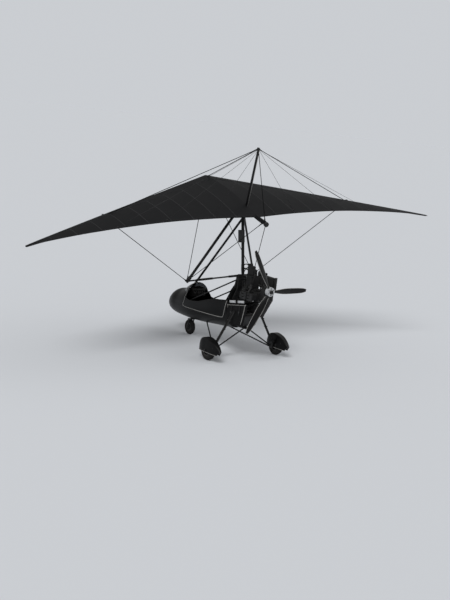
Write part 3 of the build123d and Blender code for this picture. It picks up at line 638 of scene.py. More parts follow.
class TRIKE_OT_sail(bpy.types.Operator):
    """Sew the wing's cloth: upper and lower skins with battens, hems and seams"""

    bl_idname = "trike.sail"
    bl_label = "Sail"

    STEPS_BETWEEN_BATTENS = 8
    CHORD_STEPS = 20
    # The upper skin wraps the leading edge's tube from under it to its crest, in degrees
    CREST_STEPS, CREST_START, CREST_TURN = 8, -100, 190
    # Batten pockets: where they start, their tape's width and their steps
    POCKET_START, POCKET_TAPE, POCKET_STEPS = 0.10, 16, 16
    # Seams along the wing: their shares of the chord, their tape's width and their steps
    SEAM_SHARES, SEAM_TAPE, SEAM_STEPS = (0.10, 0.125, 0.965, 0.985), 5, 40
    SEAM_FROM, SEAM_TO = 60, TIP - 30
    # How deep a tape sits in the skin and how far it stands out, in metres
    TAPE_SUNK, TAPE_RAISED = 0.002, 0.0014

    def stations(self, battens):
        """Distances from the keel, with the batten lines among them, and how far each sinks."""
        count = (battens + 1) * self.STEPS_BETWEEN_BATTENS
        phase = pi / self.STEPS_BETWEEN_BATTENS
        steps = [k % self.STEPS_BETWEEN_BATTENS for k in range(count + 1)]
        return [(TIP * k / count, abs(sin(phase * step))) for k, step in enumerate(steps)]

    def skin(self, side, top):
        """One skin as a single layer. The upper one also wraps the leading edge's tube."""
        hollow = settings().sail.hollow * 1000
        points = []
        for y, sink in self.stations(settings().sail.battens):
            _, _, radius, _ = section_at(y)
            x, _, z = leading_edge(y)
            row = []
            if top:
                for k in range(self.CREST_STEPS + 1):
                    a = radians(self.CREST_START + self.CREST_TURN * k / self.CREST_STEPS)
                    row.append(wing(x + cos(a) * radius, side * y, z + sin(a) * radius))
            for k in range(1 if top else 0, self.CHORD_STEPS + 1):
                share = k / self.CHORD_STEPS
                lift = -hollow * sink * sin(pi * min(1, share * 1.05)) ** 0.6
                row.append(sail_point(y, share, side, top, lift))
            points += row
        rows = len(points) // len(row)
        name = f"{hand(side)}_{'upper' if top else 'lower'}_skin"
        piece = keep_mesh(name, points, grid_faces(rows, len(row)))
        fit(piece, "sail", "sailcloth", "wing", f"{hand(side)}_sail")

    def seams(self, side):
        """Batten pockets, the leading edge's double seam and the hem, each a raised tape."""
        battens = settings().sail.battens
        build = Build()
        for k in range(1, battens + 1):
            y = TIP * k / (battens + 1)
            steps = [j / self.POCKET_STEPS for j in range(self.POCKET_STEPS + 1)]
            line = [(y, self.POCKET_START + (1 - self.POCKET_START) * step) for step in steps]
            self.tape(build, line, side, self.POCKET_TAPE)
        steps = [j / self.SEAM_STEPS for j in range(self.SEAM_STEPS + 1)]
        for share in self.SEAM_SHARES:
            line = [(self.SEAM_FROM + (self.SEAM_TO - self.SEAM_FROM) * step, share) for step in steps]
            self.tape(build, line, side, self.SEAM_TAPE)
        build.fit(f"{hand(side)}_sail_seams", "seam", "sailcloth", "wing")

    def tape(self, build, line, side, width):
        """A low strip along a line of (distance, share) on the upper skin."""
        points = []
        for i, (y, share) in enumerate(line):
            (ya, sa), (yb, sb) = line[max(i - 1, 0)], line[min(i + 1, len(line) - 1)]
            run = (sail_point(yb, sb, side) - sail_point(ya, sa, side)).normalized()
            out = run.cross(WING_AXES[2]).normalized() * width / 2000
            middle = sail_point(y, share, side)
            sunk, raised = (middle + WING_AXES[2] * rise for rise in (-self.TAPE_SUNK, self.TAPE_RAISED))
            points += [sunk + out, raised + out * 0.9, raised - out * 0.9, sunk - out]
        build.add(points, grid_faces(len(line), 4))

    def execute(self, context):
        for side in SIDES:
            for top in (True, False):
                self.skin(side, top)
            self.seams(side)
        return {"FINISHED"}


# The wing's fittings, at points of its layout
POST_X = -52
POST_TOP = (-16, 0, 1142)
CORNER = (194, 769, -1577)
APEX = (93, 40, -52)
NOSE_ANCHOR = (NOSE_X - 90, 30, -50)
TAIL_ANCHOR = (-662, 40, 0)
POST_NOSE = (NOSE_X - 60, 0, 34)
POST_TAIL = (-672, 0, 30)
SIDE_WIRE = leading_edge(HALF_SPAN * 0.62)
CABLE_RADIUS = 6
LUFF_LINES = (900, 1850, 2800)


def wing_side(place, side):
    """A point of the wing's layout on one side."""
    x, y, z = place
    return wing(x, side * y, z)


class TRIKE_OT_wing_fittings(bpy.types.Operator):
    """Add the wires' end fittings, luff lines, tangs, plates and edge trim of the wing"""

    bl_idname = "trike.wing_fittings"
    bl_label = "Wing fittings"

    # The gaps from a wire's two ends to its terminals, and from its ends to the drawn cable, in metres
    HEAD_GAP, POST_GAP, LOWER_GAP = 44, 34, 36
    CABLE_GAP = 0.030
    # A luff line's end on the chord, and its height over the cloth
    LUFF_END = (0.955, 3)
    # The king post's edging: how far each tape stands ahead of its axis, and its radius
    POST_EDGES = ((13.5, 4.2), (-43.5, 4.0))
    # The keel pocket: its front end, the lengths of its lower and upper edge, half width, rows and sides
    POCKET_X, POCKET_LOW, POCKET_HIGH, POCKET_HALF = -384, 254, 288, 36.5
    POCKET_ROWS, POCKET_SIDES = 16, 28
    # The foam grips' two ends on the base bar, the bar's radius, and the collars on the uprights
    GRIP = (180, 560)
    BAR_RADIUS = 15.5
    COLLAR_SHARES = (0.05, 0.94)

    def terminal(self, build, end, other, gap):
        """A swaged sleeve with a fork and pin near a wire's end."""
        run = (other - end).normalized()
        base = end + run * gap / 1000
        build.turned(base + run * 0.012, run, [(5.5, 0), (8.5, 4), (8.5, 50), (5.5, 56)], 12)
        across, up = side_axes(run)
        for sign in (-1, 1):
            build.slab(base + across * 0.0075 * sign, (run, across, up), (16, 1.8, 9), 1)
        build.turned(base - across * 0.013, across, [(4, 0), (4, 26)], 10)

    def wires(self):
        """The main rigging as taut cables, in three sets, with a terminal at both ends of each."""
        head = wing(*POST_TOP)
        upper = [wing(*POST_NOSE), wing(*POST_TAIL)] + [wing_side(SIDE_WIRE, side) for side in SIDES]
        sets = [("upper", head, upper, self.POST_GAP)]
        for side in SIDES:
            ends = [wing_side(place, side) for place in (NOSE_ANCHOR, TAIL_ANCHOR, SIDE_WIRE)]
            sets.append((hand(side), wing_side(CORNER, side), ends, self.LOWER_GAP))
        terminals = Build()
        for _, start, ends, gap in sets:
            for end in ends:
                self.terminal(terminals, start, end, self.HEAD_GAP)
                self.terminal(terminals, end, start, gap)
        terminals.fit("wire_ends", "wire", "fittings", "wing")
        for name, start, ends, _ in sets:
            cables = Build()
            for end in ends:
                run = (end - start).normalized() * self.CABLE_GAP
                cables.tube([start + run, end - run], CABLE_RADIUS, 10)
            cables.fit(f"{name}_cables", "cable", "wire_steel", "wing", f"{name}_wires")

    def luff_lines(self):
        """Thin lines from the king post's head to the trailing edge's batten ends."""
        lines, rings = Build(), Build()
        share, lift = self.LUFF_END
        head = wing(POST_TOP[0] - 8, 0, POST_TOP[2] - 4)
        for y in LUFF_LINES:
            for side in SIDES:
                end = sail_point(y, share, side, lift=lift)
                lines.tube([head, end], 2.6, 6)
                rings.turned(end, end - head, [(4, -30), (7, -22), (7, 0), (3, 4)], 10)
        lines.fit("luff_lines", "wire", "wire_steel", "wing")
        rings.fit("luff_eyes", "fitting", "fittings", "wing")

    def tangs(self):
        """Plates and bolts where the wires meet the leading edges, keel, nose and corners, and a collar near
        the king post's head.
        """
        build = Build()
        ahead, left, up = WING_AXES
        for side in SIDES:
            x, y, z = SIDE_WIRE
            for level in (-1, 1):
                build.slab(wing(x - 4, side * y, z + level * 32), WING_AXES, (28, 20, 3), 1.5)
                for dx in (-15, 15):
                    build.bolt(wing(x - 4 + dx, side * y, z + level * 35), up * level, 6)
        for dx in (-112, -30):
            for side in SIDES:
                build.bolt(wing(NOSE_X + dx, side * 36, -48), -up, 7)
        for side in SIDES:
            build.bolt(wing(APEX[0], side * 62, -50), left * side, 9)
            for dx in (35, -35):
                build.bolt(wing(CORNER[0] + dx, side * CORNER[1], CORNER[2]), ahead * dx, 8)
            build.bolt(wing(POST_X - 5, side * 21, 44), left * side, 7)
        collar = [(26.5, 0), (29, 2), (29, 10), (26.5, 12)]
        build.turned(wing(POST_TOP[0], 0, POST_TOP[2] - 20), up, collar, 28)
        build.fit("wing_tangs", "fitting", "fittings", "wing")

    def post_edges(self):
        """Pale edging tape on the king post's front and rear edges."""
        build = Build()
        foot, head = Vector((POST_X, 0, 62)), Vector(POST_TOP) - Vector((0, 0, 16))
        run = (head - foot).normalized()
        ahead = (FORE - run * run.x).normalized()
        for shift, radius in self.POST_EDGES:
            build.tube([wing(*(foot + ahead * shift)), wing(*(head + ahead * shift))], radius, 10)
        build.fit("post_edging", "trim", "wing_tube", "wing")

    def keel_pocket(self):
        """The cloth sleeve round the keel behind the sail, its hems and the seam under it."""
        rows, sides = self.POCKET_ROWS, self.POCKET_SIDES
        points = []
        for i in range(rows + 1):
            share = i / rows
            low_x, high_x = self.POCKET_X - self.POCKET_LOW * share, self.POCKET_X - self.POCKET_HIGH * share
            top = 40 - 22 * share + 26 * share * share
            low = -34 - 4 * sin(pi * share)
            half, middle = (top - low) / 2, (top + low) / 2
            for k, a in enumerate(circle(sides)):
                u = abs(cos(a)) ** 0.75 * (1 if cos(a) > 0 else -1)
                v = abs(sin(a)) ** 0.75 * (1 if sin(a) > 0 else -1)
                crease = 1 - 0.035 * (1 - abs(v)) * sin(share * 9 + k) * sin(pi * share)
                x = (low_x + high_x) / 2 + (high_x - low_x) / 2 * v
                points.append(wing(x, self.POCKET_HALF * u * crease, middle + half * v))
        sleeve = keep_mesh("keel_pocket_sleeve", points, grid_faces(rows + 1, sides, wrap_columns=True))
        modify(sleeve, "Thickness", "SOLIDIFY", thickness=0.0016, offset=-1)
        fit(sleeve, "sail", "sailcloth", "wing", "keel_pocket")
        hems = Build()
        for first in (0, rows * sides):
            hems.tube(points[first : first + sides], 2.8, 8, closed=True)
        hems.tube([points[i * sides + 3 * sides // 4] for i in range(rows + 1)], 2, 6)
        hems.fit("keel_pocket_hems", "seam", "sailcloth", "wing")

    def bar_grips(self):
        """Foam grips on the base bar, its end collars, and a collar at each end of the uprights."""
        grips, collars = Build(), Build()
        x, y, z = CORNER
        long = self.GRIP[1] - self.GRIP[0]
        r = self.BAR_RADIUS
        for side in SIDES:
            profile = [(r, 0), (r + 5.5, 8), (r + 6, long / 2), (r + 5.5, long - 8), (r, long)]
            grips.turned(wing(x, side * self.GRIP[0], z), WING_AXES[1] * side, profile, 20)
        grips.fit("bar_grips", "moulded", "moulded_plastic", "wing")
        foot, top = Vector(CORNER), Vector(APEX)
        for side in SIDES:
            band = [(r, 0), (r + 3.5, 2), (r + 3.5, 30), (r, 32)]
            collars.turned(wing(x, side * (y - 60), z), WING_AXES[1] * side, band, 20)
            along = (wing_side(top, side) - wing_side(foot, side)).normalized()
            ahead = (WING_AXES[0] - along * WING_AXES[0].dot(along)).normalized()
            for share in self.COLLAR_SHARES:
                p = foot + (top - foot) * share
                middle = wing(p.x - 14, side * p.y, p.z)
                collars.slab(middle, (ahead, along.cross(ahead), along), (36, 17.5, 22), 6)
        collars.fit("upright_collars", "fitting", "fittings", "wing")

    def execute(self, context):
        self.wires()
        self.luff_lines()
        self.tangs()
        self.post_edges()
        self.keel_pocket()
        self.bar_grips()
        return {"FINISHED"}


# The pod's sections as in the solids: place along it, half width, floor and virtual crown
POD_TUB = (
    (250, 300, 500, 1310),
    (560, 318, 452, 1265),
    (900, 330, 412, 1200),
    (1300, 329, 366, 1085),
    (1650, 316, 346, 985),
    (1950, 286, 345, 885),
)
POD_NOSE_LENGTH = 430
POD_NOSE_DROOP = 160
POD_NOSE_ANGLES = (15, 32, 50, 68, 84)
SILL = ((250, 1024), (444, 990), (620, 964), (840, 898), (1087, 815), (1259, 783), (1404, 767), (1550, 785))
# The cowl's rear edge rises from the sill's end, and the screen's rim stands a little ahead of it
COWL_EDGE = ((1550, 785), (1700, 1300))
SCREEN_RIM = ((1585, 750), (1625, 1200))
SIDE_PANEL = ((1582, 868), (1582, 800), (1570, 730), (1597, 650), (1540, 617), (1150, 628), (700, 648),
              (425, 668), (352, 706), (300, 815), (258, 1010))


def pod_rows():
    """The pod's sections, with those of its drooped nose worked out."""
    x0, half, floor, crown = POD_TUB[-1]
    rows = list(POD_TUB)
    for angle in POD_NOSE_ANGLES:
        grow = cos(radians(angle))
        middle = (floor + crown) / 2 - POD_NOSE_DROOP * (1 - grow)
        tall = (crown - floor) / 2 * grow
        rows.append((x0 + POD_NOSE_LENGTH * sin(radians(angle)), half * grow, middle - tall, middle + tall))
    return rows


def pod_point(x, z, side, lift=0.0):
    """A point on the pod's side at a height, moved out by lift."""
    half, floor, crown = between_rows(pod_rows(), x)
    middle, tall = (floor + crown) / 2, (crown - floor) / 2
    rise = max(-1.0, min(1.0, (z - middle) / tall))
    y = half * (1 - rise * rise) ** 0.5
    out = Vector((0, y / half**2, rise / tall)).normalized() * lift
    return at(x, side * (y + out.y), z + out.z)


def inside_pod(x, y, z, margin=0.0):
    """Whether a layout point lies within the pod's outer skin grown by a margin."""
    half, floor, crown = between_rows(pod_rows(), x)
    middle, tall = (floor + crown) / 2, (crown - floor) / 2
    return (y / (half + margin)) ** 2 + ((z - middle) / (tall + margin)) ** 2 < 1


class TRIKE_OT_pod_trim(bpy.types.Operator):
    """Add the pod's side panel lines, sill beading, mould seam, screws and screen edging"""

    bl_idname = "trike.pod_trim"
    bl_label = "Pod trim"

    # Distance that a beading sinks into the pod's skin, and the tub's rear edge with its beading's heights
    SUNK = -4.5
    REAR_X = 252
    REAR_HEIGHTS = (1026, 905, 640)
    COWL_STEP, COWL_STEPS = 6, 40
    # The mould seam's height at its rear end, its rise per length, and the screws' line over it
    SEAM_X, SEAM_Z, SEAM_RISE, SCREW_Z = 300, 560, 0.03, 585
    # The screen's arches: place, half width and crown, over feet at one height
    SCREEN = ((1340, 297, 1120), (1560, 266, 1086), (1740, 200, 1020), (1880, 100, 925))
    SCREEN_FOOT = 820
    SCREEN_SCREWS = (1632, 1690, 1748, 1802)
    # The dash's face, and its dials: distance from the middle, height and radius
    DASH_X = 1545
    DIALS = ((86, 888, 38), (0, 892, 42), (-86, 888, 38), (43, 830, 18), (-43, 830, 18), (112, 828, 16))
    SWITCHES_Y, SWITCHES_Z = (-72, -87, -102, -117, -132), 824

    def panel_lines(self):
        """The pale line round each side panel."""
        build = Build()
        for side in SIDES:
            build.tube([pod_point(p.x, p.z, side, 0.5) for p in side_path(SIDE_PANEL, 8)], 5.2, 8)
        build.fit("side_panel_line", "trim", "pod_shell")

    def sill_beading(self):
        """Beading along both sills, round the tub's rear edge and over the cowl's edge."""
        build = Build()
        for side in SIDES:
            build.tube([pod_point(p.x, p.z, side, self.SUNK) for p in side_path(SILL, 10)], 8.5, 10)
        x = self.REAR_X
        left, right = ([pod_point(x, z, side, self.SUNK) for z in self.REAR_HEIGHTS] for side in SIDES)
        build.tube(smooth_path(left + [at(x, 0, 505)] + right[::-1], 10), 8, 10)
        (xa, za), (xb, zb) = COWL_EDGE
        heights = [self.COWL_STEP * k for k in range(self.COWL_STEPS)]
        edge = [(xa + (xb - xa) * rise / (zb - za), za + rise) for rise in heights]
        top = max(k for k, (x, z) in enumerate(edge) if inside_pod(x, 0, z))
        left, right = ([pod_point(x, z, side, self.SUNK) for x, z in edge[: top + 1]] for side in SIDES)
        build.tube(left + right[::-1], 7.5, 8)
        build.fit("sill_beading", "rubber_hose", "pod_shell")

    def seam_point(self, x, z, side, lift):
        return pod_point(x, z + self.SEAM_RISE * (x - self.SEAM_X), side, lift)

    def seam_and_screws(self):
        """The mould joint along the waist, and the screws above it."""
        seam, screws = Build(), Build()
        for side in SIDES:
            line = [self.seam_point(x, self.SEAM_Z, side, 0.2) for x in range(self.SEAM_X, 2300, 50)]
            seam.tube(line, 1.6, 6)
            for k in range(14):
                foot, out = (self.seam_point(340 + 140 * k, self.SCREW_Z, side, lift) for lift in (0.2, 10))
                screws.turned(foot, out - foot, [(5.5, 0), (5.5, 0.8), (4.5, 1.6), (2, 0.8)], 14)
        seam.fit("pod_seam", "rubber_hose", "pod_shell")
        screws.fit("pod_screws", "fitting", "fittings")

    def screen_point(self, x, share, lift=0.0):
        """A point on the screen's arch at x: share runs from -1 at the right foot to 1 at the left foot."""
        half, crown = between_rows(self.SCREEN, x)
        rise = crown - self.SCREEN_FOOT
        radius = (half * half + rise * rise) / (2 * rise)
        reach = atan2(half, radius - rise) if radius > rise else pi - atan2(half, rise - radius)
        a = reach * share
        return at(x, (radius + lift) * sin(a), crown - radius + (radius + lift) * cos(a))

    def screen_in_pod(self, x, share, margin):
        """The height of the screen at a share of its arch, and whether the pod hides it there."""
        p = (self.screen_point(x, share) - ORIGIN_MOVE) * 1000
        return p.z, inside_pod(x, p.y, p.z, margin)

    def rim_points(self, lift):
        """Points along the screen's rear rim where it stands clear of the pod."""
        (xa, za), (xb, zb) = SCREEN_RIM
        points = []
        for k in range(61):
            share, x = -1 + 2 * k / 60, xa
            for _ in range(6):
                height, _ = self.screen_in_pod(x, share, 0)
                x = xa + (height - za) * (xb - xa) / (zb - za)
            _, hidden = self.screen_in_pod(x, share, -4)
            if not hidden:
                points.append(self.screen_point(x, share, lift))
        return points

    def screen_edging(self):
        """Rubber edging inside the screen's rear rim, a pale line outside it, and screws above its foot."""
        Build().tube(self.rim_points(-3), 6.5, 8).fit("screen_edging", "rubber_hose", "screen")
        Build().tube(self.rim_points(1), 4.8, 8).fit("screen_line", "trim", "screen")
        screws = Build()
        for side in SIDES:
            for x in self.SCREEN_SCREWS:
                share = side * 0.99
                while self.screen_in_pod(x, share, 20)[1]:
                    share -= side * 0.01
                foot, out = self.screen_point(x, share), self.screen_point(x, share, 10)
                screws.turned(foot, out - foot, [(8, -1), (8, 1), (6.5, 3), (0, 3.6)], 16)
        screws.fit("screen_screws", "fitting", "fittings")

    def instruments(self):
        """Round dials with pointers and a switch row on the dash, facing the pilot."""
        bezels, faces, marks = Build(), Build(), Build()
        back = -FORE
        for y, z, r in self.DIALS:
            p = at(self.DASH_X, y, z)
            bezels.turned(p, back, [(r, -2), (r, 6), (r * 0.86, 8), (r * 0.84, 3)], 32)
            faces.turned(p, back, [(r * 0.85, 2.5), (0, 3)], 32)
            needle = [(-60 + 37 * (y % 5), 0.28, 4.2, (r * 0.36, r * 0.022, 0.4))]
            ticks = [(-130 + 260 * k / 8, 0.70, 3.6, (r * 0.09, r * 0.018, 0.3)) for k in range(9)]
            for angle, reach, lift, half in ticks + needle:
                way = Vector((0, sin(radians(angle)), cos(radians(angle))))
                middle = p + (back * lift + way * r * reach) / 1000
                marks.slab(middle, (way, way.cross(back), back), half)
        switches = Build()
        for y in self.SWITCHES_Y:
            p = at(self.DASH_X, y, self.SWITCHES_Z)
            switches.turned(p, back, [(7, 0), (7, 4), (4.5, 5)], 14)
            switches.turned(p + back * 0.004, (-1, 0, 0.5), [(1.8, 0), (3, 13), (0, 16)], 10)
        bezels.fit("dial_bezels", "moulded", "moulded_plastic")
        faces.fit("dial_faces", "dial", "moulded_plastic")
        marks.fit("dial_marks", "trim", "moulded_plastic")
        switches.fit("dash_switches", "fitting", "fittings")

    def execute(self, context):
        self.panel_lines()
        self.sill_beading()
        self.seam_and_screws()
        self.screen_edging()
        self.instruments()
        return {"FINISHED"}


STUFFING_STEPS = 20


def apply_all(piece):
    """Replace a piece's mesh by what its modifiers make of it."""
    shown = piece.evaluated_get(bpy.context.evaluated_depsgraph_get())
    mesh = bpy.data.meshes.new_from_object(shown)
    piece.modifiers.clear()
    piece.data = mesh


def puff(piece, voxel, pressure, cap):
    """Swell a closed form as stuffed cloth does, by simulation, letting no point move further than cap."""
    scene = bpy.context.scene
    modify(piece, "Even mesh", "REMESH", mode="VOXEL", voxel_size=voxel)
    apply_all(piece)
    start = [v.co.copy() for v in piece.data.vertices]
    cloth = piece.modifiers.new("Stuffing", "CLOTH")
    cloth.settings.use_pressure = True
    cloth.settings.uniform_pressure_force = pressure
    cloth.settings.effector_weights.gravity = 0
    cloth.settings.quality = 4
    for step in range(1, STUFFING_STEPS + 1):
        scene.frame_set(step)
    apply_all(piece)
    scene.frame_set(1)
    for v, first in zip(piece.data.vertices, start):
        move = v.co - first
        if move.length > cap:
            v.co = first + move.normalized() * cap
    for polygon in piece.data.polygons:
        polygon.use_smooth = True


def pad_form(start, end, up, width, thick, channels, taper, rows=28, columns=20):
    """A crowned closed pad between two points of its back edge, its edges drawn in and sewn across."""
    up = Vector(up).normalized()
    points = []
    for level in (1, -1):
        for i in range(rows + 1):
            u = -1 + 2 * i / rows
            for j in range(columns + 1):
                v = -1 + 2 * j / columns
                edge = (1 - abs(u) ** 5) ** 0.4 * (1 - abs(v) ** 5) ** 0.4
                sewn = 1.0
                for k in range(1, channels + 1):
                    channel = -1 + 2 * k / (channels + 1)
                    sewn -= 0.20 * 2.718 ** (-(((u - channel) * rows / 2.4) ** 2))
                pull = 1 - 0.035 * (1 - edge)
                height = thick / 2 * (edge * sewn if level > 0 else -edge)
                side = v * pull * width / 2 * (1 + taper * u)
                points.append(start + (end - start) * (0.5 + u * pull / 2) + LEFT * side + up * height)
    back = grid_faces(rows + 1, columns + 1, first=(rows + 1) * (columns + 1))
    return points, grid_faces(rows + 1, columns + 1) + back


class TRIKE_OT_seats(bpy.types.Operator):
    """Upholster both seats with sewn pads, piping and belts"""

    bl_idname = "trike.seats"
    bl_label = "Seats"

    # Name, centre line's two ends, the way it faces, width, taper, thickness and sewn channels
    PADS = (
        ("front_cushion", (1003, 574), (1283, 598), (-0.09, 1), 332, 0.0, 62, 3),
        ("front_back", (952, 626), (874, 834), (0.936, 0.353), 332, -0.03, 72, 2),
        ("rear_cushion", (372, 868), (694, 862), (0.02, 1), 362, 0.0, 78, 3),
        ("rear_back", (466, 953), (392, 1164), (0.94, 0.34), 300, -0.17, 72, 3),
        ("rear_shoulder", (420, 1121), (322, 1248), (0.79, 0.611), 250, -0.08, 78, 1),
        ("rear_head", (304, 1208), (287, 1462), (0.998, 0.06), 208, -0.05, 44, 2),
    )
    # Each shell's outline from the side, and its half width at rising heights
    SHELLS = (
        (((1290, 545), (1000, 522), (930, 560), (830, 830), (860, 846), (962, 600), (1285, 572)),
         ((168, 500), (168, 845))),
        (((704, 824), (345, 838), (306, 950), (256, 1130), (226, 1290), (262, 1480), (280, 1480), (252, 1290),
          (282, 1134), (328, 968), (366, 862), (700, 846)),
         ((178, 824), (178, 930), (142, 1010), (114, 1130), (100, 1280), (93, 1490))),
    )
    # Lap belts: place of the buckle, half the cushion's width and the belt's drop at its ends
    LAPS = ((1070, 640, 168, 60), (570, 912, 182, 66))
    SHOULDER_BELT = ((262, 62, 1470), (282, 62, 1490), (318, 62, 1468), (328, 64, 1380), (346, 66, 1296),
                     (402, 70, 1216), (452, 70, 1144), (476, 64, 1060), (512, 44, 965))
    SLIDER = (331, 65, 1322)
    # Half the width and half the thickness of the webbing
    WEBBING = (22, 1.1)

    def pads(self):
        for name, (xa, za), (xb, zb), (ux, uz), width, taper, thick, channels in self.PADS:
            start, end = at(xa, 0, za), at(xb, 0, zb)
            form = pad_form(start, end, (ux, 0, uz), width / 1000, thick / 1000, channels, taper)
            piece = Build().add(*form).piece(f"{name}_pad")
            bm = bmesh.new()
            bm.from_mesh(piece.data)
            bmesh.ops.remove_doubles(bm, verts=bm.verts, dist=0.0004)
            bmesh.ops.recalc_face_normals(bm, faces=bm.faces)
            bm.to_mesh(piece.data)
            bm.free()
            puff(piece, voxel=0.007, pressure=3.0, cap=0.007)
            replaced = "front_seat" if name.startswith("front") else "rear_seat"
            fit(piece, "seat", "seat_cover", "trike", replaced)
            self.piping(name, start, end, width / 1000, taper)

    def piping(self, name, start, end, width, taper):
        """A sewn cord round the pad's edge."""
        along, across = (end - start) / 2, LEFT * width / 2
        ring = []
        for a in circle(64):
            u, v = cos(a), sin(a)
            grow = 0.975 / (abs(u) ** 5 + abs(v) ** 5) ** 0.2
            ring.append((start + end) / 2 + along * u * grow + across * v * grow * (1 + taper * u * grow))
        Build().tube(ring, 4.2, 8, closed=True).fit(f"{name}_piping", "seam", "seat_cover")

    def half_at(self, taper, z):
        """Half width at a height, from rows of (half width, height)."""
        for (a, low), (b, high) in zip(taper, taper[1:]):
            if z <= high:
                return a + (b - a) * max(0.0, z - low) / (high - low)
        return taper[-1][0]

    def backs(self):
        """The shells behind and under the pads."""
        build = Build()
        for corners, taper in self.SHELLS:
            outline = side_path(corners, 4, closed=True)
            points = [at(p.x, side * self.half_at(taper, p.z), p.z) for side in (-1, 1) for p in outline]
            build.add(points, sleeve_faces(2, len(outline)))
        fit(soften(build.piece("seat_shells"), 6), "moulded", "moulded_plastic")

    def belts(self):
        """Lap belts with a buckle in the middle, and the rear seat's shoulder belts with their sliders."""
        webbing, buckles = Build(), Build()
        for x, z, half, drop in self.LAPS:
            path = [(x - 50, half + 8, z - drop), (x - 20, half - 14, z - 8)]
            path += [(x, half * 0.5, z + 9), (x + 8, 30, z + 14)]
            for side in SIDES:
                webbing.strap(all_at(path, side), *self.WEBBING, Vector((0, side * 0.3, 1)))
            buckles.block((x + 9, 0, z + 17), (30, 36, 9), 4)
            buckles.turned(at(x + 9, 0, z + 24), UP, [(13, 0), (13, 4), (10, 6), (0, 6.4)], 20)
        for side in SIDES:
            webbing.strap(all_at(self.SHOULDER_BELT, side), *self.WEBBING, Vector((1, 0, 0.3)))
            x, y, z = self.SLIDER
            tilted = (Vector((0.06, 0, -1)), LEFT, Vector((1, 0, 0.06)))
            buckles.slab(at(x, side * y, z), tilted, (22, 27, 4), 2)
        webbing.fit("belts", "webbing", "bag_cloth")
        buckles.fit("belt_buckles", "fitting", "fittings")

    def execute(self, context):
        self.pads()
        self.backs()
        self.belts()
        return {"FINISHED"}


